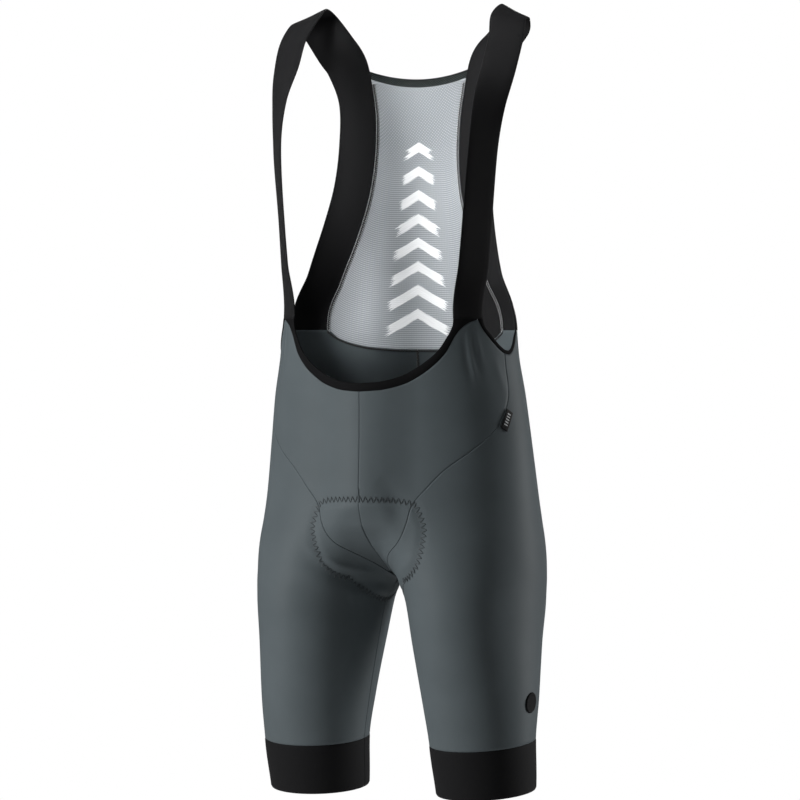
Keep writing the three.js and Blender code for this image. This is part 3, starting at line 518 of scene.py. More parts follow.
def nearest(points, line):
    """Distance of each point from a close line of points, and how far along it the nearest one is."""
    distance = np.full(len(points), NEAR_REACH)
    share = np.zeros(len(points))
    low, high = line.min(0) - NEAR_REACH, line.max(0) + NEAR_REACH
    near = np.all((points > low) & (points < high), axis=1)
    chosen = np.flatnonzero(near)
    for start in range(0, len(chosen), 4000):
        part = chosen[start:start + 4000]
        gaps = np.linalg.norm(points[part][:, None] - line[None], axis=2)
        best = gaps.argmin(axis=1)
        distance[part] = gaps[np.arange(len(part)), best]
        share[part] = best / (len(line) - 1)
    return distance, share


PAD_STEPS = 20
PAD_LOWEST_STEP = 12


def pad_path():
    """The pad's stitched outline on the left half, as shares and levels."""
    steps = np.linspace(0, PAD_STEPS, 420)
    share, z = smooth_table(PAD_OUTLINE)(steps).T
    around = np.where(share < 0, 1 + share, share)
    around = np.where((steps > PAD_LOWEST_STEP) & (share >= 0), 1, around)
    return around, z


PAD_SHARES, PAD_LEVELS = pad_path()
# The sewn outline sits a little to the wearer's left at the front
PAD_REACH = {1: 1.07, -1: 0.96}
PAD_LIFT = 1.3
PAD_SEAM_DEPTH = 0.6
PAD_SEAM_WIDTH = 4.5


def pad_line(side):
    """The pad's sewn outline on one side, as shares and levels."""
    return np.where(PAD_SHARES < 0.5, PAD_SHARES * PAD_REACH[side], PAD_SHARES), PAD_LEVELS


def inside_pad(share, z):
    """Whether places on the body lie inside the pad's stitched outline."""
    outline = smooth_table(PAD_OUTLINE)
    front = outline(np.linspace(0, PAD_LOWEST_STEP, 200))
    back = outline(np.linspace(PAD_STEPS, PAD_LOWEST_STEP, 200))
    levels = np.linspace(PAD_OUTLINE[0][2], PAD_OUTLINE[PAD_LOWEST_STEP][2], 236)
    reach_front = [front[np.abs(front[:, 1] - level) < 1.5, 0].max(initial=0) for level in levels]
    reach_back = [(-back[np.abs(back[:, 1] - level) < 1.5, 0]).max(initial=0) for level in levels]
    limit_front = np.interp(-z, -levels, reach_front, left=0, right=0)
    limit_back = np.interp(-z, -levels, reach_back, left=0, right=0)
    return (share < limit_front) | (1 - share < limit_back)


def cloth_relief(points, share, z, side):
    """How far the cloth stands off its plain form: the pad behind it, its stitching and the creases."""
    relief = np.zeros(len(points))
    distance, _ = nearest(points, on_side(body_point(*pad_line(side)), side))
    own = np.where(share < 0.5, share / PAD_REACH[side], share)
    lifted = inside_pad(own, z) * smoothstep(distance, 1, 11) * PAD_LIFT
    relief += lifted - PAD_SEAM_DEPTH * np.exp(-(distance / PAD_SEAM_WIDTH) ** 2)
    for crease_side, depth, width, corners in CREASES:
        if crease_side != side:
            continue
        line = path_between(corners)
        surface = on_side(body_point(line[:, 0], line[:, 1]), side)
        distance, along = nearest(points, surface)
        fade = np.sin(np.pi * np.clip(along, 0.02, 0.98)) ** 0.7
        relief += depth * fade * np.exp(-(distance / width) ** 2)
    return relief


def eased(grid, first, last, times):
    """The rows between two of a grid's rows drawn towards their neighbours."""
    for _ in range(times):
        between = (grid[first - 1:last - 1] + 2 * grid[first:last] + grid[first + 1:last + 1]) / 4
        grid[first:last] = between
    return grid


def panel_relief(grid, share, z, from_edge, side):
    """Moves a panel's grid out by its relief and turns its side edges in."""
    rows, columns = grid.shape[:2]
    normals = vertex_normals(grid.reshape(-1, 3), grid_quads(rows, columns, side < 0))
    relief = cloth_relief(grid.reshape(-1, 3), share.ravel(), z.ravel(), side)
    relief += turned_in(from_edge.ravel())
    return (grid.reshape(-1, 3) + normals * relief[:, None]).reshape(rows, columns, 3)


LEG_LOWER_ROWS = 70
LEG_UPPER_ROWS = 104
LEG_CELLS = 176


def top_of_leg_panel():
    """The leg panel's upper edge: armhole, strap foot and back waist, as level by share."""
    foot = [(share, WAIST_SEAM) for share in np.linspace(*STRAP_FOOT, 4)]
    rows = ARMHOLE_BACK[:-1] + foot + BACK_WAIST[1:]
    return smooth_table(rows)


def leg_panel(side):
    """The leg panel's grid and its flat cloth."""
    across = cut_edges(LEG_CELLS, half_length(-600), SEAM_LINES)
    start = float(beside_diagonal(ARMHOLE_BACK[0][1], 1))
    top = top_of_leg_panel()(start + (1 - start) * across)[:, 0] - HALF_GAP * 1.4
    lower = np.linspace(GRIPPER_TOP + HALF_GAP, CROTCH, LEG_LOWER_ROWS + 1)[:-1]
    raised = (np.arange(LEG_UPPER_ROWS + 1) / LEG_UPPER_ROWS) ** 1.1
    z = np.concatenate([
        np.repeat(lower[:, None], len(across), axis=1),
        mix(CROTCH, top[None, :], raised[:, None]),
    ])
    edge = beside_diagonal(np.minimum(z, ARMHOLE_BACK[0][1]), 1)
    gap = HALF_GAP / half_length(z)
    near = np.where(z < PANEL_TIP, np.maximum(edge, gap), edge)
    far = 1 - gap
    share = mix(near, far, across[None, :])
    grid = body_point(share, z)
    grid = eased(grid, LEG_LOWER_ROWS - 6, LEG_LOWER_ROWS + 8, 6)
    grid[..., 0] = np.maximum(grid[..., 0], HALF_GAP)
    from_edge = np.minimum(share - near, far - share) * half_length(z)
    grid = panel_relief(on_side(grid, side), share, z, from_edge, side)
    flat = np.stack([share * half_length(z), z], axis=-1)
    return grid, flat


FRONT_ROWS = 116
FRONT_CELLS = 84


def front_panel(side):
    """The front panel's grid and its flat cloth."""
    reach = float(beside_diagonal(ARMHOLE_BACK[0][1], -1))
    across = cut_edges(FRONT_CELLS, reach * half_length(-450), SEAM_LINES)
    top_edge = smooth_table(SCOOP_EDGE + ARMHOLE_FRONT[1:])
    own = reach * across
    top = top_edge(own)[:, 0] - HALF_GAP * 1.4
    raised = np.linspace(0, 1, FRONT_ROWS + 1) ** 1.25
    bottom = PANEL_TIP + SEAM_GAP
    z = mix(bottom, top[None, :], raised[:, None])
    edge = beside_diagonal(np.minimum(z, ARMHOLE_BACK[0][1]), -1)
    narrowed = edge * across[None, :]
    share = mix(narrowed, np.repeat(own[None, :], len(raised), axis=0), raised[:, None] ** 6)
    gap = HALF_GAP / half_length(z)
    share = np.maximum(share, gap * (1 - across[None, :]))
    grid = body_point(share, z)
    grid[..., 0] = np.maximum(grid[..., 0], HALF_GAP)
    from_edge = np.minimum(share, np.maximum(edge, own[None, :] * (raised[:, None] ** 6)) - share)
    from_edge = np.maximum(from_edge, 0) * half_length(z)
    grid = panel_relief(on_side(grid, side), share, z, from_edge, side)
    flat = np.stack([share * half_length(z), z], axis=-1)
    return grid, flat


def gripper(side):
    """The leg band: a tube whose upper edge tucks under the leg panel's and whose hem is folded."""
    across = cut_edges(150, half_length(-850), SEAM_LINES)
    levels = np.concatenate([
        [HEM - 0.4, HEM + 0.4, HEM + 1.4, HEM + 3],
        np.linspace(HEM + 5, GRIPPER_TOP - 4, 20),
        [GRIPPER_TOP - 2.4, GRIPPER_TOP - 1.2, GRIPPER_TOP - 0.5, GRIPPER_TOP - HALF_GAP],
    ])
    z = np.repeat(levels[:, None], len(across), axis=1)
    gap = HALF_GAP / half_length(z)
    share = mix(gap, 1 - gap, across[None, :])
    grid = body_point(share, z)
    from_edge = np.minimum(share, 1 - share) * half_length(z)
    grid = on_side(grid, side)
    rows, columns = z.shape
    normals = vertex_normals(grid.reshape(-1, 3), grid_quads(rows, columns, side < 0))
    height = z - HEM
    swell = 0.5 * np.sin(np.pi * np.clip(height / (GRIPPER_TOP - HEM), 0, 1)) + 0.3
    swell += turned_in(GRIPPER_TOP - z, 1.1, 2.2) + turned_in(np.maximum(height, 0), 0.8, 1.6)
    swell += turned_in(from_edge)
    grid = grid + normals.reshape(rows, columns, 3) * swell[..., None]
    flat = np.stack([share * half_length(z), z], axis=-1)
    return grid, flat


# Straps


def centripetal(points, t):
    """Points of a centripetal curve through points, at shares t of its spans."""
    points = np.asarray(points, float)
    first = 2 * points[0] - points[1]
    last = 2 * points[-1] - points[-2]
    every = np.concatenate([[first], points, [last]])
    spans = len(points) - 1
    at = np.clip(t, 0, 1) * spans
    i = np.minimum(at.astype(int), spans - 1)
    w = (at - i)[:, None]
    p0, p1, p2, p3 = (every[i + k] for k in range(4))

    def reach(a, b):
        return np.sqrt(np.linalg.norm(a - b, axis=1, keepdims=True))

    d0, d1, d2 = reach(p0, p1), reach(p1, p2), reach(p2, p3)
    leave = ((p1 - p0) / d0 - (p2 - p0) / (d0 + d1) + (p2 - p1) / d1) * d1
    arrive = ((p2 - p1) / d1 - (p3 - p1) / (d1 + d2) + (p3 - p2) / d2) * d1
    bend = -3 * p1 + 3 * p2 - 2 * leave - arrive
    twist = 2 * p1 - 2 * p2 + leave + arrive
    return p1 + leave * w + bend * w ** 2 + twist * w ** 3


STRAP_POINTS = [row[:3] for row in STRAP_LINE]
STRAP_TURNS = smooth_table([(i,) + row[3:] for i, row in enumerate(STRAP_LINE)])
STRAP_DENSE = np.linspace(0, 1, 4001)
STRAP_WALKED = np.concatenate([
    [0],
    np.cumsum(np.linalg.norm(np.diff(centripetal(STRAP_POINTS, STRAP_DENSE), axis=0), axis=1)),
])
STRAP_LENGTH = float(STRAP_WALKED[-1])


def strap_place(along, across):
    """Points and outward directions of the left strap, from its front end and its inner edge."""
    along = np.atleast_1d(np.asarray(along, float))
    across = np.broadcast_to(np.asarray(across, float), along.shape)
    t = np.interp(along * STRAP_LENGTH, STRAP_WALKED, STRAP_DENSE)
    centre = centripetal(STRAP_POINTS, t)
    ahead = centripetal(STRAP_POINTS, np.minimum(t + STRAP_REACH, 1))
    tangent = unit(ahead - centripetal(STRAP_POINTS, np.maximum(t - STRAP_REACH, 0)))
    turn, drop, width = STRAP_TURNS(t * (len(STRAP_LINE) - 1)).T
    plan, fall = np.radians(turn), np.radians(drop)
    sideways = np.stack([
        np.cos(plan) * np.cos(fall), np.sin(plan) * np.cos(fall), -np.sin(fall),
    ], axis=1)
    sideways = unit(sideways - tangent * np.sum(sideways * tangent, axis=1, keepdims=True))
    normal = unit(np.cross(sideways, tangent))
    point = centre + sideways * ((across - 0.5) * width)[:, None]
    from_start = 1 - smoothstep(along, 0, STRAP_BLEND)
    from_end = smoothstep(along, 1 - STRAP_BLEND, 1)
    settle = np.maximum(from_start, from_end)[:, None]
    ending = from_end > 0
    inner = np.where(ending, STRAP_FOOT[1], STRAP_START_SHARES[0])
    outer = np.where(ending, STRAP_FOOT[0], STRAP_START_SHARES[1])
    lowest = np.where(ending, WAIST_SEAM + HALF_GAP, STRAP_START + HALF_GAP)
    level = np.maximum(point[:, 2], lowest)
    level = np.where((from_end == 1) | (from_start == 1), lowest, level)
    share = mix(inner, outer, across)
    point = mix(point, body_point(share, level), settle)
    normal = unit(mix(normal, body_normal(share, level), settle))
    return point, normal


def strap_station(z):
    """Where along the strap its inner edge passes a level on the way down the back."""
    low, high = 0.5, 1.0
    for _ in range(40):
        middle = (low + high) / 2
        if strap_place(middle, 0)[0][0, 2] > z:
            low = middle
        else:
            high = middle
    return (low + high) / 2


NECK_TOP_STATION = strap_station(NECK_EDGE)
MESH_TOP_STATION = strap_station(NECK_EDGE - NECK_BINDING_HEIGHT)


STRAP_STATIONS = 261
STRAP_FLAT_WIDTH = 40


def strap(side):
    """The strap's grid: a flat elastic band with a thin woven rib near each edge."""
    stations = np.linspace(0, 1, STRAP_STATIONS)
    across = np.array([0, 0.012, 0.03, 0.05, 0.075, 0.1, 0.14, 0.2, 0.3, 0.4, 0.5])
    across = np.concatenate([across, 1 - across[-2::-1]])
    grid = np.empty((len(stations), len(across), 3))
    normals = np.empty_like(grid)
    for column, value in enumerate(across):
        grid[:, column], normals[:, column] = strap_place(stations, value)
    edge = np.minimum(across, 1 - across) * STRAP_FLAT_WIDTH
    crown = 0.5 * smoothstep(edge, 0, 3) - 0.25 * np.exp(-((edge - 3.4) / 0.7) ** 2)
    slack = 0.35 * np.sin(stations * 31) * np.sin(stations * 12.5 + side)
    hold = smoothstep(stations, 0.03, 0.1) * smoothstep(1 - stations, 0.03, 0.1)
    relief = crown[None, :] + (slack * hold)[:, None] * (across[None, :] - 0.5)
    grid = grid + normals * relief[..., None]
    flat = np.empty(grid.shape[:2] + (2,))
    flat[..., 0] = (across * STRAP_FLAT_WIDTH)[None, :]
    flat[..., 1] = (stations * STRAP_LENGTH)[:, None]
    return on_side(grid, side), flat


def beside_strap(along):
    """Points and outward directions of the seam beside the strap's inner edge."""
    point, normal = strap_place(along, 0)
    inwards = unit(point - strap_place(along, 1)[0])
    return point + inwards * SEAM_GAP, normal


# Back mesh and its bindings


def neck_line(across, height):
    """Points across the back neck, from the middle to the left strap."""
    along = mix(MESH_TOP_STATION, NECK_TOP_STATION, height)
    end = beside_strap(along)[0][0]
    dip = NECK_DIP * (1 - across ** 2)
    return np.stack([end[0] * across, mix(NECK_DEPTH, end[1], across ** 2), end[2] - dip], axis=1)


MESH_ROWS = 120
MESH_CELLS = 34


def back_mesh_half():
    """The left half of the mesh as a grid from the middle to the strap, bottom to top."""
    across = np.linspace(0, 1, MESH_CELLS + 1)
    waist = smooth_table(BACK_WAIST)
    share = mix(1, BACK_WAIST[0][0] + SEAM_GAP / half_length(WAIST_SEAM), across)
    low = body_point(share, waist(share)[:, 0] + HALF_GAP * 1.4)
    low[0, 0] = 0
    high = neck_line(across, 0)
    rise = np.linspace(0, 1, MESH_ROWS + 1)
    edge = beside_strap(mix(1, MESH_TOP_STATION, rise))[0]
    u, v = across[None, :, None], rise[:, None, None]
    centre = mix(low[0], high[0], rise[:, None])
    sides = mix(centre[:, None], edge[:, None], u)
    ends = mix(low[None], high[None], v)
    corners = mix(mix(low[0], low[-1], u), mix(high[0], high[-1], u), v)
    grid = sides + ends - corners
    grid[0] = low
    grid[-1] = high
    grid[:, -1] = edge
    grid[:, 0, 0] = 0
    return grid


def both_sides(half):
    """A left half grid continued on the right, first column at the wearer's left."""
    other = on_side(half[:, 1:], -1)
    return np.concatenate([half[:, ::-1], other], axis=1)


def flat_of(grid):
    """Walked distances across and up a grid, from its middle column and lowest row."""
    along = np.linalg.norm(np.diff(grid, axis=1), axis=2)
    u = np.concatenate([np.zeros((len(grid), 1)), np.cumsum(along, axis=1)], axis=1)
    u -= u[:, u.shape[1] // 2][:, None]
    up = np.linalg.norm(np.diff(grid, axis=0), axis=2)
    v = np.concatenate([np.zeros((1, grid.shape[1])), np.cumsum(up, axis=0)])
    return np.stack([u, v], axis=-1)


def moved_out(grid, distance, turned=False):
    """A grid moved along its own outward directions."""
    rows, columns = grid.shape[:2]
    normals = vertex_normals(grid.reshape(-1, 3), grid_quads(rows, columns, turned))
    amount = np.broadcast_to(distance, (rows, columns))[..., None]
    return grid + normals.reshape(rows, columns, 3) * amount


def binding_profile(rows):
    """Shares across a folded binding and how far each stands out, rounded at both edges."""
    share = (1 - np.cos(np.linspace(0, np.pi, rows))) / 2
    swell = 0.75 * np.sin(np.pi * share) ** 0.6
    return share, swell


def edge_grid(low, high, rows):
    """A binding's grid between its two edges on the body, given as (share, z) tables."""
    steps = np.linspace(0, 1, 150)
    low_rows = [(i / (len(low) - 1),) + tuple(p) for i, p in enumerate(low)]
    high_rows = [(i / (len(high) - 1),) + tuple(p) for i, p in enumerate(high)]
    a, b = smooth_table(low_rows)(steps), smooth_table(high_rows)(steps)
    share, swell = binding_profile(rows)
    between = mix(a[None], b[None], share[:, None, None])
    return body_point(between[..., 0], between[..., 1]), swell


def moved_across(edge, distance, keep_first_up=True):
    """A (share, z) edge moved across the cloth, upwards being positive."""
    edge = np.array(edge, float)
    flat = np.stack([edge[:, 0] * half_length(edge[:, 1]), edge[:, 1]], axis=1)
    along = np.empty_like(flat)
    along[1:-1] = flat[2:] - flat[:-2]
    along[0] = flat[1] - flat[0]
    along[-1] = flat[-1] - flat[-2]
    normal = unit(np.stack([-along[:, 1], along[:, 0]], axis=1))
    if keep_first_up:
        normal[0] = (0, 1)
    normal[-1] = (0, 1)
    moved = flat + normal * distance
    return np.stack([moved[:, 0] / half_length(edge[:, 1]), moved[:, 1]], axis=1)


def beside_mesh_edge(rise, inwards, lift):
    """Places on the left side of the mesh, a distance in from its edge and out from its outer face."""
    half = back_mesh_half()
    normals = vertex_normals(half.reshape(-1, 3), grid_quads(*half.shape[:2], True)).reshape(half.shape)
    edge_first = half[:, ::-1]
    walked = np.cumsum(np.linalg.norm(np.diff(edge_first, axis=1), axis=2), axis=1)
    walked = np.concatenate([np.zeros((len(half), 1)), walked], axis=1)
    rows = np.linspace(0, 1, len(half))
    point, outward = np.empty((len(half), 3)), np.empty((len(half), 3))
    wanted = np.interp(rows, rise, np.broadcast_to(inwards, rise.shape))
    for row in range(len(half)):
        for axis in range(3):
            point[row, axis] = np.interp(wanted[row], walked[row], edge_first[row, :, axis])
            outward[row, axis] = np.interp(wanted[row], walked[row], normals[row, ::-1, axis])
    line = np.stack([np.interp(rise, rows, point[:, axis]) for axis in range(3)], axis=1)
    normal = unit(np.stack([np.interp(rise, rows, outward[:, axis]) for axis in range(3)], axis=1))
    return line + normal * lift, normal


# How far up the mesh's side its seam starts and ends, and the facing ends
MESH_SEAM = (0.004, 0.985)
FACING_TOP = 0.36
FACING_REACH = 40
FACING_EDGE = 1.5
FACING_OUT = -1.2
FACING_THICKNESS = 0.8


def strap_foot_facing():
    """The black facing inside the foot of the left back strap, and its flat cloth."""
    rise = np.linspace(MESH_SEAM[0], FACING_TOP, 50)
    reach = FACING_EDGE + FACING_REACH * (1 - smoothstep(rise, 0, FACING_TOP))
    shares = np.linspace(0, 1, 14)
    grid = np.stack([beside_mesh_edge(rise, reach * share, FACING_OUT)[0] for share in shares], axis=1)
    return grid, flat_of(grid)


# Materials


def add_node(tree, kind, inputs=None, **settings):
    """Adds one node with its settings, and sets or links each of its inputs."""
    made = tree.nodes.new(kind)
    for name, value in settings.items():
        setattr(made, name, value)
    for key, value in (inputs or {}).items():
        if isinstance(value, bpy.types.NodeSocket):
            tree.links.new(value, made.inputs[key])
        else:
            made.inputs[key].default_value = value
    return made


def new_material(name, **shader_inputs):
    """A material with one Principled shader, its uniform values on the shader's own sockets."""
    material = bpy.data.materials.new(name)
    material.use_nodes = True
    shader = next(n for n in material.node_tree.nodes if n.type == "BSDF_PRINCIPLED")
    for key, value in shader_inputs.items():
        shader.inputs[key.replace("_", " ")].default_value = value
    return material, material.node_tree, shader


def cloth_uv(tree):
    return add_node(tree, "ShaderNodeUVMap", uv_map="cloth").outputs["UV"]


def lines(tree, coordinate, axis, pitch):
    """A soft 0 to 1 wave across one axis of the cloth, with its pitch in millimetres."""
    parts = add_node(tree, "ShaderNodeSeparateXYZ", {"Vector": coordinate})
    turns = add_node(
        tree, "ShaderNodeMath", {0: parts.outputs[axis], 1: 2 * math.pi / (pitch * MM)},
        operation="MULTIPLY",
    )
    wave = add_node(tree, "ShaderNodeMath", {0: turns.outputs[0]}, operation="SINE")
    return add_node(
        tree, "ShaderNodeMath", {0: wave.outputs[0], 1: 0.5, 2: 0.5}, operation="MULTIPLY_ADD",
    ).outputs[0]


def formula(tree, values, steps):
    """A pattern worked out by Math nodes: each step is a name, an operation and its inputs.

    An input is a number, or the name of one of the values or of an earlier step.
    """
    values = dict(values)
    for name, operation, *inputs in steps:
        sockets = {i: values[item] if isinstance(item, str) else item for i, item in enumerate(inputs)}
        values[name] = add_node(tree, "ShaderNodeMath", sockets, operation=operation).outputs[0]
    return values


def toned(colour, times):
    """A colour made lighter or darker."""
    return tuple(min(1, c * times) for c in colour[:3]) + (1,)


def varied_surface(tree, shader, dark, light, factor, height, strength, depth):
    """Colours a surface between two tones by a factor and raises it by a height, depth in metres."""
    tone = add_node(tree, "ShaderNodeMix", {0: factor, 6: dark, 7: light}, data_type="RGBA")
    tree.links.new(tone.outputs[2], shader.inputs["Base Color"])
    bump = add_node(
        tree, "ShaderNodeBump", {"Height": height, "Strength": strength, "Distance": depth},
    )
    tree.links.new(bump.outputs["Normal"], shader.inputs["Normal"])


def stretch_knit(colours):
    """Warp-knitted nylon and elastane: smooth, close stitches that give a soft satin sheen."""
    material, tree, shader = new_material(
        "stretch_knit", Roughness=0.5, Sheen_Weight=0.02, Sheen_Roughness=0.4,
        Specular_IOR_Level=0.07,
    )
    shader.inputs["Sheen Tint"].default_value = linear("#aab4b8")
    cloth = cloth_uv(tree)
    place = add_node(tree, "ShaderNodeTexCoord").outputs["Object"]
    cloud = add_node(tree, "ShaderNodeTexNoise", {"Vector": place, "Scale": 14, "Detail": 3})
    grain = add_node(tree, "ShaderNodeTexNoise", {"Vector": cloth, "Scale": 1400, "Detail": 2})
    # Real wales lie 0.5 mm apart; they are drawn nearly twice as coarse to show close up
    steps = formula(
        tree,
        {
            "cloud": cloud.outputs["Fac"],
            "grain": grain.outputs["Fac"],
            "wales": lines(tree, cloth, 0, 0.9),
            "courses": lines(tree, cloth, 1, 0.7),
        },
        (
            ("blend", "MULTIPLY", "cloud", "grain"),
            ("stitch", "MULTIPLY", "wales", "courses"),
            ("height", "MULTIPLY_ADD", "grain", 0.5, "stitch"),
        ),
    )
    spread = add_node(
        tree, "ShaderNodeMapRange", {"Value": steps["blend"], "From Min": 0.12, "From Max": 0.4},
    )
    varied_surface(
        tree, shader, toned(colours.knit, 0.92), toned(colours.knit, 1.1), spread.outputs["Result"],
        steps["height"], 0.25, 0.0001,
    )
    return material


def ribbed_elastic(name, colour, pitch, axis, roughness, sheen):
    """Knitted elastic: fine close ribs along the rubber threads, matt and slightly dusty."""
    material, tree, shader = new_material(
        name, Roughness=roughness, Sheen_Weight=sheen, Sheen_Roughness=0.5, Specular_IOR_Level=0.05,
    )
    cloth = cloth_uv(tree)
    grain = add_node(tree, "ShaderNodeTexNoise", {"Vector": cloth, "Scale": 900, "Detail": 2})
    ribs = lines(tree, cloth, axis, pitch)
    height = add_node(
        tree, "ShaderNodeMath", {0: grain.outputs["Fac"], 1: 0.4, 2: ribs}, operation="MULTIPLY_ADD",
    )
    varied_surface(
        tree, shader, tuple(colour), toned(colour, 1.3), grain.outputs["Fac"],
        height.outputs[0], 0.35, 0.00015,
    )
    return material


NET_PITCH = 2.6
NET_LEAN = math.radians(52)
NET_FROM = 190
NET_WHOLE = 235


def knitted_mesh(colours):
    """Polyester tricot mesh: a thin open net that lets light through, with cross ribs below."""
    material, tree, shader = new_material(
        "knitted_mesh", Roughness=0.8, Sheen_Weight=0.03, Specular_IOR_Level=0.1,
        Subsurface_Weight=0.8, Subsurface_Scale=0.003,
    )
    shader.inputs["Subsurface Radius"].default_value = (1, 1, 1)
    cloth = cloth_uv(tree)
    # The net's real holes are 1 mm apart; they are drawn twice as coarse to show
    turned = add_node(
        tree, "ShaderNodeVectorRotate", {"Vector": cloth, "Angle": NET_LEAN}, rotation_type="Z_AXIS",
    )
    one, other = (lines(tree, turned.outputs[0], axis, NET_PITCH) for axis in (0, 1))
    grain = add_node(tree, "ShaderNodeTexNoise", {"Vector": cloth, "Scale": 700, "Detail": 2})
    steps = formula(
        tree,
        {
            "ribs": lines(tree, cloth, 1, 2.3),
            "wales": lines(tree, cloth, 0, 2.1),
            "one": one,
            "other": other,
        },
        (
            ("net", "MULTIPLY", "one", "other"),
            ("knot", "MULTIPLY_ADD", "wales", 0.35, 0.65),
            ("ribbed", "MULTIPLY", "ribs", "knot"),
        ),
    )
    parts = add_node(tree, "ShaderNodeSeparateXYZ", {"Vector": cloth})
    upper = add_node(
        tree, "ShaderNodeMapRange",
        {"Value": parts.outputs[1], "From Min": NET_FROM * MM, "From Max": NET_WHOLE * MM},
    )
    yarn = add_node(
        tree, "ShaderNodeMix", {0: upper.outputs["Result"], 2: steps["ribbed"], 3: steps["net"]},
    )
    # The grain varies the yarn's tone at random; the darker grey where the ribs and the net dip is
    # painted shade in the grooves between them
    grain_and_groove_shade = add_node(
        tree, "ShaderNodeMath", {0: grain.outputs["Fac"], 1: 0.35, 2: yarn.outputs[0]},
        operation="MULTIPLY_ADD",
    )
    bare = add_node(
        tree, "ShaderNodeMix",
        {0: grain_and_groove_shade.outputs[0], 6: tuple(colours.mesh_groove_shade), 7: tuple(colours.mesh_yarn)},
        data_type="RGBA",
    )
    varied_surface(
        tree, shader, bare.outputs[2], tuple(colours.mesh_print), chevron_print(tree, cloth),
        yarn.outputs[0], 0.5, 0.0003,
    )
    return material


CHEVRON_PITCH = 27
CHEVRON_HALF_WIDTH = 6
CHEVRON_SLOPE = 0.55
CHEVRON_FIRST = 20
CHEVRON_LAST = 245
CHEVRON_SHORTEST = 14
CHEVRON_GROWTH = 0.12


def chevron_print(tree, cloth):
    """A dry screen print of plain chevrons, longer towards the waist, as a 0 to 1 mask."""
    place = add_node(tree, "ShaderNodeSeparateXYZ", {"Vector": cloth}).outputs
    steps = formula(tree, {"x": place[0], "y": place[1]}, (
        ("u", "DIVIDE", "x", MM),
        ("v", "DIVIDE", "y", MM),
        ("side", "ABSOLUTE", "u"),
        ("raised", "MULTIPLY_ADD", "side", CHEVRON_SLOPE, "v"),
        ("pitches", "DIVIDE", "raised", CHEVRON_PITCH),
        ("row", "FLOOR", "pitches"),
        ("middle", "MULTIPLY_ADD", "row", CHEVRON_PITCH, CHEVRON_PITCH / 2),
        ("off middle", "SUBTRACT", "raised", "middle"),
        ("within", "ABSOLUTE", "off middle"),
        ("from top", "SUBTRACT", CHEVRON_LAST, "middle"),
        ("reach", "MULTIPLY_ADD", "from top", CHEVRON_GROWTH, CHEVRON_SHORTEST),
        ("above", "GREATER_THAN", "middle", CHEVRON_FIRST),
        ("below", "LESS_THAN", "middle", CHEVRON_LAST),
        ("rows", "MULTIPLY", "above", "below"),
        ("bristle length", "MULTIPLY", "side", 0.05),
        ("bristle width", "MULTIPLY", "raised", 0.9),
    ))
    # Bristle marks run along each stroke and wear it away near its ends
    along = add_node(
        tree, "ShaderNodeCombineXYZ", {"X": steps["bristle length"], "Y": steps["bristle width"]},
    )
    bristles = add_node(
        tree, "ShaderNodeTexNoise", {"Vector": along.outputs[0], "Scale": 1, "Detail": 3},
    )
    steps = formula(tree, {**steps, "bristles": bristles.outputs["Fac"]}, (
        ("dry", "SUBTRACT", "bristles", 0.5),
        ("edge", "MULTIPLY_ADD", "dry", 4, CHEVRON_HALF_WIDTH),
        ("end", "MULTIPLY_ADD", "dry", 26, "reach"),
        ("to edge", "SUBTRACT", "edge", "within"),
        ("to end", "SUBTRACT", "end", "side"),
        ("cover", "MULTIPLY_ADD", "bristles", 0.5, 0.6),
    ))
    stroke, short = (
        add_node(tree, "ShaderNodeMapRange", {"Value": steps[name], "From Max": fade}).outputs["Result"]
        for name, fade in (("to edge", 0.8), ("to end", 1.5))
    )
    return formula(tree, {**steps, "stroke": stroke, "short": short}, (
        ("drawn", "MULTIPLY", "stroke", "short"),
        ("inked", "MULTIPLY", "drawn", "cover"),
        ("shown", "MINIMUM", "inked", 1),
        ("print", "MULTIPLY", "shown", "rows"),
    ))["print"]


def thread(name, colour):
    """Textured polyester sewing thread: soft, matt, slightly fuzzy."""
    material, tree, shader = new_material(name, Roughness=0.8, Sheen_Weight=0.2)
    place = add_node(tree, "ShaderNodeTexCoord").outputs["Object"]
    grain = add_node(tree, "ShaderNodeTexNoise", {"Vector": place, "Scale": 900, "Detail": 1})
    tone = add_node(
        tree, "ShaderNodeMix", {0: grain.outputs["Fac"], 6: tuple(colour), 7: toned(colour, 1.5)},
        data_type="RGBA",
    )
    tree.links.new(tone.outputs[2], shader.inputs["Base Color"])
    return material


def brushed_pad(colours):
    """Brushed knit moulded over foam: dull, with a fine nap."""
    material, tree, shader = new_material(
        "brushed_pad_knit", Roughness=0.85, Sheen_Weight=0.35, Sheen_Roughness=0.6,
    )
    place = add_node(tree, "ShaderNodeTexCoord").outputs["Object"]
    nap = add_node(tree, "ShaderNodeTexNoise", {"Vector": place, "Scale": 650, "Detail": 3})
    varied_surface(
        tree, shader, tuple(colours.pad), toned(colours.pad, 1.5), nap.outputs["Fac"],
        nap.outputs["Fac"], 0.4, 0.0004,
    )
    return material


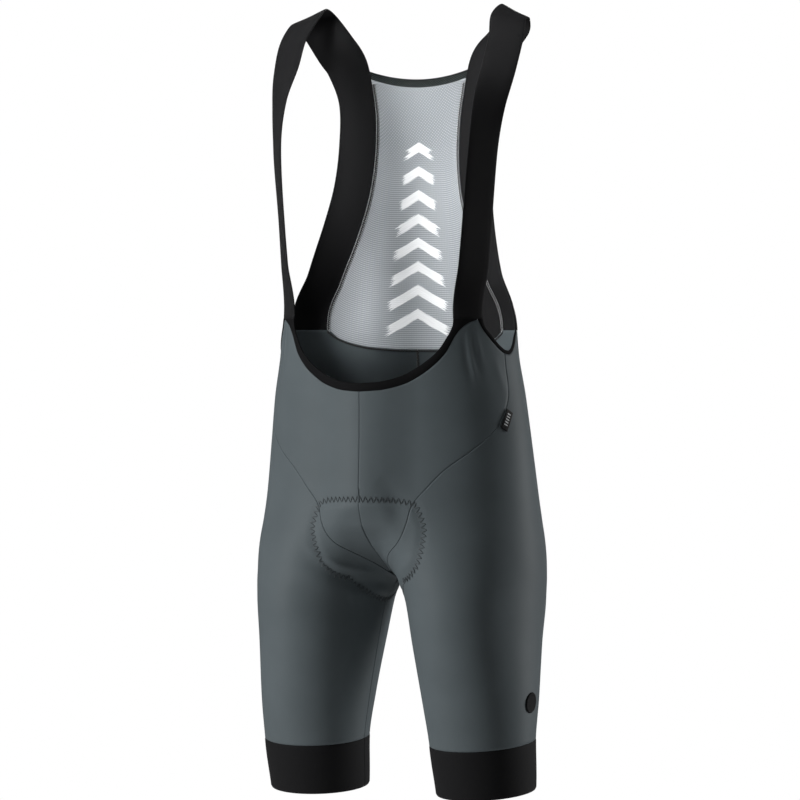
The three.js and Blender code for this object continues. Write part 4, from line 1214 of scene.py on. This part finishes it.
def woven_label(colours):
    """Woven polyester label: close cross threads, slightly shiny, with pale woven dashes."""
    material, tree, shader = new_material("woven_label", Roughness=0.6, Specular_IOR_Level=0.1)
    cloth = cloth_uv(tree)
    place = add_node(tree, "ShaderNodeSeparateXYZ", {"Vector": cloth}).outputs
    # Threads lie 0.6 mm apart, and the dashes 3.4 mm apart across the middle
    steps = formula(
        tree,
        {
            "x": place[0],
            "y": place[1],
            "warp": lines(tree, cloth, 0, 0.6),
            "weft": lines(tree, cloth, 1, 0.6),
            "band": lines(tree, cloth, 1, 3.4),
        },
        (
            ("weave", "MULTIPLY", "warp", "weft"),
            ("dash", "GREATER_THAN", "band", 0.62),
            ("side", "ABSOLUTE", "x"),
            ("inner", "LESS_THAN", "side", 2.2 * MM),
            ("end", "ABSOLUTE", "y"),
            ("middle", "LESS_THAN", "end", 8.5 * MM),
            ("both", "MULTIPLY", "inner", "middle"),
            ("mask", "MULTIPLY", "dash", "both"),
        ),
    )
    varied_surface(
        tree, shader, tuple(colours.label), tuple(colours.label_dash), steps["mask"],
        steps["weave"], 0.4, 0.0001,
    )
    return material


def moulded_disc(colours):
    """Soft moulded rubber transfer: smooth dull black with a fine orange-peel surface."""
    material, tree, shader = new_material("moulded_rubber", Roughness=0.7, Specular_IOR_Level=0.06)
    shader.inputs["Base Color"].default_value = tuple(colours.label)
    place = add_node(tree, "ShaderNodeTexCoord").outputs["Object"]
    peel = add_node(tree, "ShaderNodeTexNoise", {"Vector": place, "Scale": 700, "Detail": 1})
    rough = add_node(
        tree, "ShaderNodeMapRange",
        {"Value": peel.outputs["Fac"], "To Min": 0.64, "To Max": 0.78},
    )
    tree.links.new(rough.outputs["Result"], shader.inputs["Roughness"])
    bump = add_node(
        tree, "ShaderNodeBump", {"Height": peel.outputs["Fac"], "Strength": 0.15, "Distance": 0.0001},
    )
    tree.links.new(bump.outputs["Normal"], shader.inputs["Normal"])
    return material


def shared_material(name, make, *values):
    """The scene's one material of a name, made the first time it is wanted."""
    found = bpy.data.materials.get(name)
    return found or make(*values)


def knit_material():
    return shared_material("stretch_knit", stretch_knit, bpy.context.scene.bib_colours)


def dotted_elastic(colours):
    """Soft neck elastic: near-black knit with close rows of small paler raised dots."""
    material, tree, shader = new_material(
        "dotted_neck_elastic", Roughness=0.7, Sheen_Weight=0.02, Specular_IOR_Level=0.08,
    )
    cloth = cloth_uv(tree)
    turned = add_node(
        tree, "ShaderNodeVectorRotate", {"Vector": cloth, "Angle": math.radians(45)},
        rotation_type="Z_AXIS",
    )
    one, other = (lines(tree, turned.outputs[0], axis, 2.1) for axis in (0, 1))
    dots = add_node(tree, "ShaderNodeMath", {0: one, 1: other}, operation="MULTIPLY")
    spread = add_node(
        tree, "ShaderNodeMapRange", {"Value": dots.outputs[0], "From Min": 0.35, "From Max": 0.8},
    )
    varied_surface(
        tree, shader, tuple(colours.binding), tuple(colours.dot), spread.outputs["Result"],
        dots.outputs[0], 0.5, 0.0003,
    )
    return material


def binding_material():
    colours = bpy.context.scene.bib_colours
    return shared_material(
        "folded_edge_tape", ribbed_elastic, "folded_edge_tape", colours.binding, 1.1, 1, 0.85, 0.01,
    )


def thread_material(kind):
    colours = bpy.context.scene.bib_colours
    colour = {"dark": colours.thread_dark, "pad": colours.thread_pad, "pale": colours.thread_pale}[kind]
    return shared_material("sewing_thread_" + kind, thread, "sewing_thread_" + kind, colour)


# Stitching


STITCH_INPUTS = {
    "Spacing": 0.002,
    "Length": 0.003,
    "Thickness": 0.0005,
    "First lean": 0.6,
    "Second lean": -0.6,
}


def stitch_tree():
    """Geometry nodes that lay stitches along a line, every second one leaning the other way."""
    found = bpy.data.node_groups.get("stitch_row")
    if found:
        return found
    tree = bpy.data.node_groups.new("stitch_row", "GeometryNodeTree")
    tree.interface.new_socket("Line", in_out="INPUT", socket_type="NodeSocketGeometry")
    for name, value in STITCH_INPUTS.items():
        socket = tree.interface.new_socket(name, in_out="INPUT", socket_type="NodeSocketFloat")
        socket.default_value = value
    tree.interface.new_socket("Thread", in_out="INPUT", socket_type="NodeSocketMaterial")
    tree.interface.new_socket("Stitches", in_out="OUTPUT", socket_type="NodeSocketGeometry")
    entry = add_node(tree, "NodeGroupInput").outputs
    curve = add_node(tree, "GeometryNodeMeshToCurve", {"Mesh": entry["Line"]})
    spaced = add_node(
        tree, "GeometryNodeResampleCurve", {"Curve": curve.outputs["Curve"], "Length": entry["Spacing"]},
        mode="LENGTH",
    )
    tangent = add_node(tree, "GeometryNodeInputTangent")
    outward = add_node(
        tree, "GeometryNodeInputNamedAttribute", {"Name": "outward"}, data_type="FLOAT_VECTOR",
    )
    forward = add_node(
        tree, "FunctionNodeAlignRotationToVector", {"Vector": tangent.outputs["Tangent"]}, axis="X",
    )
    upright = add_node(
        tree, "FunctionNodeAlignRotationToVector",
        {"Rotation": forward.outputs["Rotation"], "Vector": outward.outputs["Attribute"]},
        axis="Z", pivot_axis="X",
    )
    index = add_node(tree, "GeometryNodeInputIndex")
    parity = add_node(
        tree, "ShaderNodeMath", {0: index.outputs["Index"], 1: 2}, operation="MODULO",
    )
    lean = add_node(
        tree, "ShaderNodeMapRange",
        {"Value": parity.outputs[0], "To Min": entry["First lean"], "To Max": entry["Second lean"]},
    )
    about = add_node(
        tree, "FunctionNodeAxisAngleToRotation", {"Axis": (0, 0, 1), "Angle": lean.outputs["Result"]},
    )
    leaning = add_node(
        tree, "FunctionNodeRotateRotation",
        {"Rotation": upright.outputs["Rotation"], "Rotate By": about.outputs["Rotation"]},
        rotation_space="LOCAL",
    )
    size = add_node(
        tree, "ShaderNodeCombineXYZ",
        {"X": entry["Length"], "Y": entry["Thickness"], "Z": entry["Thickness"]},
    )
    stitch = add_node(
        tree, "GeometryNodeMeshUVSphere", {"Segments": 6, "Rings": 4, "Radius": 0.5},
    )
    laid = add_node(
        tree, "GeometryNodeInstanceOnPoints",
        {
            "Points": spaced.outputs["Curve"],
            "Instance": stitch.outputs["Mesh"],
            "Rotation": leaning.outputs["Rotation"],
            "Scale": size.outputs["Vector"],
        },
    )
    real = add_node(tree, "GeometryNodeRealizeInstances", {"Geometry": laid.outputs["Instances"]})
    dressed = add_node(
        tree, "GeometryNodeSetMaterial",
        {"Geometry": real.outputs["Geometry"], "Material": entry["Thread"]},
    )
    add_node(tree, "NodeGroupOutput", {"Stitches": dressed.outputs["Geometry"]})
    return tree


def stitches(name, lines_of_points, material, closed=False, **sizes):
    """Rows of stitches along lines, each given as points and outward directions in millimetres."""
    mesh = bpy.data.meshes.new(name)
    points, normals, edges = [], [], []
    for line, outward in lines_of_points:
        start = len(points)
        points.extend((np.asarray(line) * MM).tolist())
        normals.extend(np.asarray(outward).tolist())
        count = len(line)
        edges.extend((start + i, start + i + 1) for i in range(count - 1))
        if closed:
            edges.append((start + count - 1, start))
    mesh.from_pydata(points, edges, [])
    attribute = mesh.attributes.new("outward", "FLOAT_VECTOR", "POINT")
    attribute.data.foreach_set("vector", np.array(normals, np.float32).ravel())
    piece = new_object(name, mesh)
    tree = stitch_tree()
    modifier = piece.modifiers.new("stitches", "NODES")
    modifier.node_group = tree
    wanted = {**STITCH_INPUTS, **{key.replace("_", " "): value for key, value in sizes.items()}}
    for item in tree.interface.items_tree:
        if item.item_type == "SOCKET" and item.in_out == "INPUT":
            if item.name in wanted:
                modifier[item.identifier] = wanted[item.name]
            elif item.name == "Thread":
                modifier[item.identifier] = material
    evaluated = piece.evaluated_get(bpy.context.evaluated_depsgraph_get())
    made = bpy.data.meshes.new_from_object(evaluated)
    piece.modifiers.clear()
    piece.data = made
    made.polygons.foreach_set("use_smooth", [True] * len(made.polygons))
    if not len(made.polygons):
        raise RuntimeError(name + " has no stitches")
    if not made.materials:
        made.materials.append(material)
    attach(piece, "root")
    return piece


def surface_line(share, z, side, out):
    """A line a distance out from the cloth's outer face, with its outward directions."""
    normal = on_side(body_normal(share, z), side)
    points = on_side(body_point(share, z), side)
    lift = cloth_relief(points, share, z, side) + out
    return points + normal * lift[:, None], normal


# Properties


class BibSizes(bpy.types.PropertyGroup):
    panel_cloth: FloatProperty(
        name="Panel cloth", description="Thickness of the knitted panels", default=0.0011,
        min=0.0005, max=0.002, subtype="DISTANCE", unit="LENGTH", precision=5,
    )
    band_cloth: FloatProperty(
        name="Band cloth", description="Thickness of the straps, leg bands and bindings",
        default=0.0015, min=0.0008, max=0.003, subtype="DISTANCE", unit="LENGTH", precision=5,
    )
    mesh_cloth: FloatProperty(
        name="Mesh cloth", description="Thickness of the back mesh", default=0.0009,
        min=0.0004, max=0.002, subtype="DISTANCE", unit="LENGTH", precision=5,
    )
    zigzag_pitch: FloatProperty(
        name="Zigzag pitch", description="Length of one zig and one zag round the seat pad",
        default=0.0062, min=0.002, max=0.01, subtype="DISTANCE", unit="LENGTH", precision=5,
    )
    zigzag_width: FloatProperty(
        name="Zigzag width", description="Width of the zigzag round the seat pad",
        default=0.0075, min=0.001, max=0.01, subtype="DISTANCE", unit="LENGTH", precision=5,
    )


def colour_property(name, description, code):
    return FloatVectorProperty(
        name=name, description=description, default=linear(code), size=4, min=0, max=1, subtype="COLOR",
    )


class BibColours(bpy.types.PropertyGroup):
    knit: colour_property("Knit", "Slate grey of the panels", "#4f5659")
    band: colour_property("Leg band", "Black of the leg bands", "#141415")
    strap: colour_property("Strap", "Black of the straps", "#171718")
    binding: colour_property("Binding", "Black of the edge tape", "#0f0f10")
    dot: colour_property("Neck dots", "Grey of the dots on the neck elastic", "#5b6664")
    mesh_yarn: colour_property("Mesh yarn", "Pale grey of the mesh's ribs", "#abafb2")
    # Painted shade: the darker grey laid in the grooves between the mesh's ribs and net strands
    mesh_groove_shade: colour_property("Mesh groove shade", "Darker grey between the mesh's ribs", "#7b7f83")
    mesh_print: colour_property("Mesh print", "Near white of the print on the mesh", "#eceeef")
    pad: colour_property("Pad", "Dark grey of the seat pad", "#2a2f32")
    label: colour_property("Label", "Black of the label and the disc", "#101112")
    label_dash: colour_property("Label dashes", "Grey white of the dashes woven in the label", "#b9bcbd")
    thread_dark: colour_property("Dark thread", "Black of the overlock thread", "#141415")
    thread_pad: colour_property("Pad thread", "Dark grey of the pad's zigzag", "#2b3134")
    thread_pale: colour_property("Pale thread", "Grey white of the overlock's looper thread", "#c9cccd")


# Pieces


class BIB_OT_panels(bpy.types.Operator):
    """Makes the two front panels and the two leg panels of grey knit"""
    bl_idname = "bib.panels"
    bl_label = "Panels"

    def execute(self, context):
        sizes = context.scene.bib_sizes
        material = knit_material()
        for name, side in SIDES:
            grid, flat = leg_panel(side)
            leg = cloth_piece("leg_panel_" + name, grid, flat, sizes.panel_cloth, material, side < 0)
            grid, flat = front_panel(side)
            front = cloth_piece("front_panel_" + name, grid, flat, sizes.panel_cloth, material, side < 0)
        return {"FINISHED"}


class BIB_OT_leg_bands(bpy.types.Operator):
    """Makes the two elastic leg bands"""
    bl_idname = "bib.leg_bands"
    bl_label = "Leg bands"

    def execute(self, context):
        sizes = context.scene.bib_sizes
        colours = context.scene.bib_colours
        material = shared_material(
            "leg_elastic", ribbed_elastic, "leg_elastic", colours.band, 1.3, 0, 0.7, 0.02,
        )
        for name, side in SIDES:
            grid, flat = gripper(side)
            band = cloth_piece("gripper_" + name, grid, flat, sizes.band_cloth, material, side < 0)
        return {"FINISHED"}


class BIB_OT_straps(bpy.types.Operator):
    """Makes the two shoulder straps and the facing inside the foot of the left one"""
    bl_idname = "bib.straps"
    bl_label = "Straps"

    def execute(self, context):
        sizes = context.scene.bib_sizes
        colours = context.scene.bib_colours
        material = shared_material(
            "wide_knitted_elastic", ribbed_elastic,
            "wide_knitted_elastic", colours.strap, 1.2, 0, 0.6, 0.02,
        )
        for name, side in SIDES:
            grid, flat = strap(side)
            band = cloth_piece("strap_" + name, grid, flat, sizes.band_cloth, material, side < 0)
        grid, flat = strap_foot_facing()
        quads = grid_quads(*grid.shape[:2], True)
        every, faces, source = shell(grid.reshape(-1, 3), quads, FACING_THICKNESS)
        facing = make_object("strap_foot_facing", every, faces, flat.reshape(-1, 2)[source], material)
        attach(facing, "root")
        return {"FINISHED"}


SCOOP_ROWS = 11
NARROW_ROWS = 9


class BIB_OT_bindings(bpy.types.Operator):
    """Makes the folded tape of the scooped front, the armholes and the back neck"""
    bl_idname = "bib.bindings"
    bl_label = "Bindings"

    def execute(self, context):
        sizes = context.scene.bib_sizes
        material = binding_material()
        half, swell = edge_grid(moved_across(SCOOP_EDGE, HALF_GAP), SCOOP_INNER_EDGE, SCOOP_ROWS)
        half[:, 0, 0] = 0
        whole = both_sides(half)[:, ::-1]
        whole = moved_out(whole, swell[:, None])
        scoop = cloth_piece("scoop_binding", whole, flat_of(whole), sizes.band_cloth, material)
        edge = ARMHOLE_FRONT + ARMHOLE_BACK[1:]
        low = moved_across(edge, HALF_GAP)
        high = moved_across(edge, ARMHOLE_BINDING_WIDTH, keep_first_up=False)
        clear = SEAM_GAP / float(half_length(WAIST_SEAM))
        low[-1, 0] -= clear
        high[-1, 0] -= clear
        low[0, 0] += clear / 2
        high[0] = (STRAP_START_SHARES[1], STRAP_START - HALF_GAP)
        grid, swell = edge_grid(low, high, NARROW_ROWS)
        for name, side in SIDES:
            own = moved_out(on_side(grid, side), swell[:, None], side < 0)
            piece = cloth_piece(
                "armhole_binding_" + name, own, flat_of(own), sizes.band_cloth, material, side < 0,
            )
        share, swell = binding_profile(NARROW_ROWS)
        across = np.linspace(0, 1, 41)
        heights = mix(SEAM_GAP / NECK_BINDING_HEIGHT, 1, share)
        neck = both_sides(np.stack([neck_line(across, height) for height in heights]))
        neck = moved_out(neck, swell[:, None])
        material = shared_material("dotted_neck_elastic", dotted_elastic, context.scene.bib_colours)
        piece = cloth_piece("back_neck_binding", neck, flat_of(neck), sizes.band_cloth, material)
        return {"FINISHED"}


class BIB_OT_back_mesh(bpy.types.Operator):
    """Makes the pale mesh of the back between the straps"""
    bl_idname = "bib.back_mesh"
    bl_label = "Back mesh"

    def execute(self, context):
        sizes = context.scene.bib_sizes
        material = shared_material("knitted_mesh", knitted_mesh, context.scene.bib_colours)
        grid = both_sides(back_mesh_half())
        flat = flat_of(grid)
        piece = cloth_piece("back_mesh", grid, flat, sizes.mesh_cloth, material)
        return {"FINISHED"}


PAD_COLUMNS = 22
PAD_ROWS = 110
PAD_INSET = 4.9
PAD_RIM_THICKNESS = 1.5
PAD_CROWN = 4
# Moulded channels: where each lies from the middle, and how wide it is, as shares of the half pad
PAD_CHANNEL = (0.36, 0.05)
PAD_CROSS_CHANNEL = (0.45, 0.04)
PAD_CHANNEL_DEPTH = 0.55


def pad_foam():
    """The moulded pad's points and faces, thick in its middle and thin at its rim."""
    seam, rim = smooth_table(PAD_SEAM), smooth_table(PAD_RIM)
    lowest = len(PAD_RIM) // 2
    steps = np.linspace(0, len(PAD_RIM) - 1, PAD_ROWS + 1)
    across = np.linspace(0, 1, PAD_COLUMNS + 1)
    z = mix(seam(steps)[:, :1], rim(steps)[:, 1:2], across[None, :])
    signed = rim(steps)[:, :1] * across[None, :]
    share = np.where((steps > lowest)[:, None], 1 + signed, signed)
    points = body_point(share, z)
    normals = body_normal(share, z)
    points[:, 0, 0] = 0
    normals[:, 0, 0] = 0
    whole = both_sides(points)
    out = both_sides(unit(normals))
    rows, columns = whole.shape[:2]
    u = np.abs(np.linspace(-1, 1, columns))[None, :]
    v = np.abs(np.linspace(-1, 1, rows))[:, None]
    crown = (1 - u ** 4) * (1 - v ** 4)
    channel = np.exp(-((u - PAD_CHANNEL[0]) / PAD_CHANNEL[1]) ** 2) * smoothstep(1 - v, 0.05, 0.3)
    cross = np.exp(-((v - PAD_CROSS_CHANNEL[0]) / PAD_CROSS_CHANNEL[1]) ** 2)
    cross = cross * (1 - smoothstep(u, 0.5, 0.9))
    pressed = 1 - PAD_CHANNEL_DEPTH * np.maximum(channel, cross)
    thickness = PAD_RIM_THICKNESS + PAD_CROWN * crown * pressed
    outer = whole - out * PAD_INSET
    inner = whole - out * (PAD_INSET + thickness)[..., None]
    quads = grid_quads(rows, columns, True)
    count = rows * columns
    a, b = open_edges(quads, count).T
    edge = np.stack([b, a, a + count, b + count], axis=1)
    faces = np.concatenate([quads, quads[:, ::-1] + count, edge])
    return np.concatenate([outer.reshape(-1, 3), inner.reshape(-1, 3)]), faces


class BIB_OT_seat_pad(bpy.types.Operator):
    """Makes the moulded seat pad inside the shorts"""
    bl_idname = "bib.seat_pad"
    bl_label = "Seat pad"

    def execute(self, context):
        material = shared_material("brushed_pad_knit", brushed_pad, context.scene.bib_colours)
        piece = make_object("seat_pad_foam", *pad_foam(), material=material)
        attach(piece, "root")
        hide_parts("seat_pad")
        return {"FINISHED"}


def patch(place, sideways, upwards):
    """Places round a spot of the left leg panel, from flat millimetres."""
    z = place["z"] + upwards
    return place["share"] + sideways / half_length(z), z


def label_cloth():
    """The side label's grid, leaning and a little crowned, and its flat cloth."""
    across, along = np.meshgrid(
        np.linspace(-0.5, 0.5, 13) * TAB_WIDTH, np.linspace(-0.5, 0.5, 25) * TAB_LENGTH,
    )
    lean = math.radians(TAB_PLACE["lean"])
    sideways = across * math.cos(lean) + along * math.sin(lean)
    upwards = along * math.cos(lean) - across * math.sin(lean)
    share, z = patch(TAB_PLACE, sideways, upwards)
    crown = TAB_OUT + TAB_CROWN * np.sin(np.pi * (along / TAB_LENGTH + 0.5))
    grid = body_point(share, z) + body_normal(share, z) * crown[..., None]
    return grid, np.stack([across, along], axis=-1)


def disc_moulding():
    """The thigh disc's points and faces: a low rim round a flat middle, closed behind."""
    turns = np.arange(DISC_SECTORS) * 2 * np.pi / DISC_SECTORS

    def raised(sideways, upwards, height):
        share, z = patch(DISC_PLACE, sideways, upwards)
        return body_point(share, z) + body_normal(share, z) * (DISC_OUT + height)

    points = [raised(0, 0, DISC_PROFILE[0][1])]
    for ring, height in DISC_PROFILE[1:] + [(1, 0)]:
        reach = DISC_RADIUS * ring
        points.extend(raised(reach * np.cos(turns), reach * np.sin(turns), height))
    points.append(raised(0, 0, 0))
    around = [(i, (i + 1) % DISC_SECTORS) for i in range(DISC_SECTORS)]
    faces = [(0, 1 + i, 1 + after) for i, after in around]
    for ring in range(len(DISC_PROFILE) - 1):
        low = 1 + ring * DISC_SECTORS
        high = low + DISC_SECTORS
        faces.extend((low + i, high + i, high + after, low + after) for i, after in around)
    last = len(points) - 1
    base = last - DISC_SECTORS
    faces.extend((base + after, base + i, last) for i, after in around)
    return np.array(points), faces


class BIB_OT_trims(bpy.types.Operator):
    """Makes the small side label and the thigh disc"""
    bl_idname = "bib.trims"
    bl_label = "Label and disc"

    def execute(self, context):
        colours = context.scene.bib_colours
        material = shared_material("woven_label", woven_label, colours)
        label = cloth_piece("side_label", *label_cloth(), TAB_THICKNESS, material)
        material = shared_material("moulded_rubber", moulded_disc, colours)
        disc = make_object("thigh_disc_moulding", *disc_moulding(), material=material)
        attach(disc, "root")
        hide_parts("thigh_disc")
        return {"FINISHED"}


# The overlocked seam between mesh and strap: kind, distance in from the strap, how far it stands
# out in millimetres, then spacing, length and thickness in metres, and lean
OVERLOCK_ROWS = (
    ("dark_cover", 2.4, 0.1, 0.0008, 0.0046, 0.0009, 1.4),
    ("pale_looper", 3.6, 0.5, 0.0023, 0.0022, 0.0005, 0.9),
    ("pale_edge", 0.9, 0.5, 0.0023, 0.0019, 0.0005, 0.3),
)
MESH_INNER_FACE = -0.9
ZIGZAG_OUT = 0.35
ZIGZAG_LAP = 1.08
COVER_SPACING = 0.0008
COVER_THICKNESS = 0.0009
COVER_LEAN = 1.4
PANEL_INNER_FACE = -1.5
CENTRE_INNER_FACE = -1.4
CENTRE_OVERLOCK_END = -546


class BIB_OT_stitching(bpy.types.Operator):
    """Sews the pad's zigzag, the overlocked sides of the mesh and the seams inside the back"""
    bl_idname = "bib.stitching"
    bl_label = "Stitching"

    def execute(self, context):
        sizes = context.scene.bib_sizes
        left = surface_line(*pad_line(1), 1, ZIGZAG_OUT)
        right = surface_line(*(row[::-1] for row in pad_line(-1)), -1, ZIGZAG_OUT)
        loop = [np.concatenate([mine, other[1:-1]]) for mine, other in zip(left, right)]
        half_pitch = sizes.zigzag_pitch / 2
        lean = math.atan2(sizes.zigzag_width, half_pitch)
        zigzag = stitches(
            "pad_zigzag", [loop], thread_material("pad"), closed=True,
            Spacing=half_pitch, Length=math.hypot(half_pitch, sizes.zigzag_width) * ZIGZAG_LAP,
            Thickness=COVER_THICKNESS, First_lean=lean, Second_lean=-lean,
        )
        rise = np.linspace(*MESH_SEAM, 240)
        for kind, offset, lift, spacing, length, thick, lean in OVERLOCK_ROWS:
            rows = []
            for height, facing in ((lift, 1), (MESH_INNER_FACE - lift, -1)):
                line, normal = beside_mesh_edge(rise, offset, height)
                rows.extend((on_side(line, side), on_side(normal, side) * facing) for side in (1, -1))
            piece = stitches(
                "mesh_side_" + kind, rows, thread_material(kind.split("_")[0]),
                Spacing=spacing, Length=length, Thickness=thick, First_lean=lean, Second_lean=-lean,
            )
        waist = smooth_table(BACK_WAIST)
        share = np.linspace(BACK_WAIST[0][0] + 0.004, 1, 120)
        below = waist(share)[:, 0] - 1.6
        waist_rows = [surface_line(share, below, side, PANEL_INNER_FACE) for side in (1, -1)]
        seam = np.linspace(float(waist(1.0)[0]) - 1.5, CENTRE_OVERLOCK_END, 200)
        centre = surface_line(np.ones_like(seam), seam, 1, CENTRE_INNER_FACE)
        centre[0][:, 0] = 0
        for name, rows, length in (
            ("waist_overlock", waist_rows, 0.0026),
            ("centre_back_overlock", [centre], 0.0042),
        ):
            piece = stitches(
                name, [(line, -outward) for line, outward in rows], thread_material("dark"),
                Spacing=COVER_SPACING, Length=length, Thickness=COVER_THICKNESS,
                First_lean=COVER_LEAN, Second_lean=-COVER_LEAN,
            )
        return {"FINISHED"}


MIDDLE = (0, 0, -0.5)
UPPER_BACK = (0, 0.03, -0.24)
CREST = (0, 0.03, -0.08)
# Name, aim, metres to the right of it, towards the camera and above it, size, watts and spread
SOFTBOXES = (
    ("key_softbox", MIDDLE, -2.15, 0.85, 0.35, (0.5, 1.8), 64, 180),
    ("rim_softbox", MIDDLE, 2.1, -0.6, 0.2, (0.5, 1.8), 38, 180),
    ("front_softbox", MIDDLE, -0.6, 2.6, 1.3, (1.4, 1.0), 4.5, 180),
    ("top_softbox", CREST, -0.25, 0.35, 0.75, (0.3, 0.3), 0.55, 36),
    ("back_softbox", UPPER_BACK, 0.35, -1.1, 0.35, (0.6, 0.5), 2.0, 60),
)
ROOM_STRENGTH = 0.085
FLOOR_SECTORS = 96
FLOOR_REACH = 1.1
FLOOR_LEVEL = -1.3


def studio_floor():
    """A round sheet of white paper under the garment."""
    turns = [2 * math.pi * i / FLOOR_SECTORS for i in range(FLOOR_SECTORS)]
    ring = [(FLOOR_REACH * math.cos(t), FLOOR_REACH * math.sin(t), FLOOR_LEVEL) for t in turns]
    mesh = bpy.data.meshes.new("studio_floor")
    mesh.from_pydata(ring, [], [list(range(FLOOR_SECTORS))])
    material, _, shader = new_material("white_studio_paper", Roughness=0.9, Specular_IOR_Level=0.1)
    shader.inputs["Base Color"].default_value = linear("#f6f6f6")
    mesh.materials.append(material)
    new_object("studio_floor", mesh)


def studio_room():
    """A dim white room that the camera sees as plain white."""
    world = bpy.data.worlds.new("studio_room")
    world.use_nodes = True
    tree = world.node_tree
    tree.nodes.clear()
    white = linear("#ffffff")
    room, seen = (
        add_node(tree, "ShaderNodeBackground", {"Color": white, "Strength": strength}).outputs[0]
        for strength in (ROOM_STRENGTH, 1.0)
    )
    path = add_node(tree, "ShaderNodeLightPath")
    chosen = add_node(tree, "ShaderNodeMixShader", {0: path.outputs["Is Camera Ray"], 1: room, 2: seen})
    add_node(tree, "ShaderNodeOutputWorld", {"Surface": chosen.outputs[0]})
    return world


def softboxes():
    """Rectangular softboxes, placed from the camera's point of view."""
    view = (Vector(CAMERA_TARGET) - Vector(CAMERA_PLACE)).normalized()
    right = view.cross(Vector((0, 0, 1))).normalized()
    up = right.cross(view)
    for name, aim, across, towards, above, size, watts, spread in SOFTBOXES:
        light = bpy.data.lights.new(name, "AREA")
        light.shape = "RECTANGLE"
        light.size, light.size_y = size
        light.energy = watts
        light.spread = math.radians(spread)
        lamp = new_object(name, light)
        lamp.location = Vector(aim) + right * across - view * towards + up * above
        lamp.rotation_euler = (Vector(aim) - lamp.location).to_track_quat("-Z", "Y").to_euler()
        lamp.visible_camera = False


def photograph_camera():
    """A camera at the photograph's viewing angle."""
    camera = bpy.data.cameras.new("photograph_view")
    camera.sensor_width = SENSOR
    camera.lens = SENSOR * CAMERA_DISTANCE / FRAME_WIDTH
    camera.shift_x = -SUBJECT_SHIFT
    camera.clip_end = 50
    placed = new_object("photograph_view", camera)
    placed.location = CAMERA_PLACE
    direction = Vector(CAMERA_TARGET) - Vector(CAMERA_PLACE)
    placed.rotation_euler = direction.to_track_quat("-Z", "Y").to_euler()
    return placed


class BIB_OT_stage(bpy.types.Operator):
    """Sets the pale floor, the studio lights and the camera"""
    bl_idname = "bib.stage"
    bl_label = "Stage"

    def execute(self, context):
        scene = context.scene
        scene.view_settings.view_transform = "Standard"
        studio_floor()
        scene.world = studio_room()
        softboxes()
        scene.camera = photograph_camera()
        return {"FINISHED"}


PIECE_OPERATORS = (
    BIB_OT_panels, BIB_OT_leg_bands, BIB_OT_straps, BIB_OT_bindings, BIB_OT_back_mesh,
    BIB_OT_seat_pad, BIB_OT_trims, BIB_OT_stitching, BIB_OT_stage,
)


class BIB_PT_garment(bpy.types.Panel):
    bl_label = "Bib shorts"
    bl_idname = "BIB_PT_garment"
    bl_space_type = "VIEW_3D"
    bl_region_type = "UI"
    bl_category = "Bib shorts"

    def draw(self, context):
        for operator in PIECE_OPERATORS:
            self.layout.operator(operator.bl_idname)
        for group in (context.scene.bib_sizes, context.scene.bib_colours):
            box = self.layout.box()
            for name in type(group).__annotations__:
                box.prop(group, name)


CLASSES = (BibSizes, BibColours) + PIECE_OPERATORS + (BIB_PT_garment,)


def register():
    for cls in CLASSES:
        bpy.utils.register_class(cls)
    bpy.types.Scene.bib_sizes = PointerProperty(type=BibSizes)
    bpy.types.Scene.bib_colours = PointerProperty(type=BibColours)


def unregister():
    del bpy.types.Scene.bib_sizes
    del bpy.types.Scene.bib_colours
    for cls in reversed(CLASSES):
        bpy.utils.unregister_class(cls)


def main():
    register()
    for operator in PIECE_OPERATORS:
        group, name = operator.bl_idname.split(".")
        result = getattr(getattr(bpy.ops, group), name)()
        if result != {"FINISHED"}:
            raise RuntimeError(operator.bl_label + " did not finish")
    bpy.context.view_layer.update()


if __name__ == "__main__":
    main()
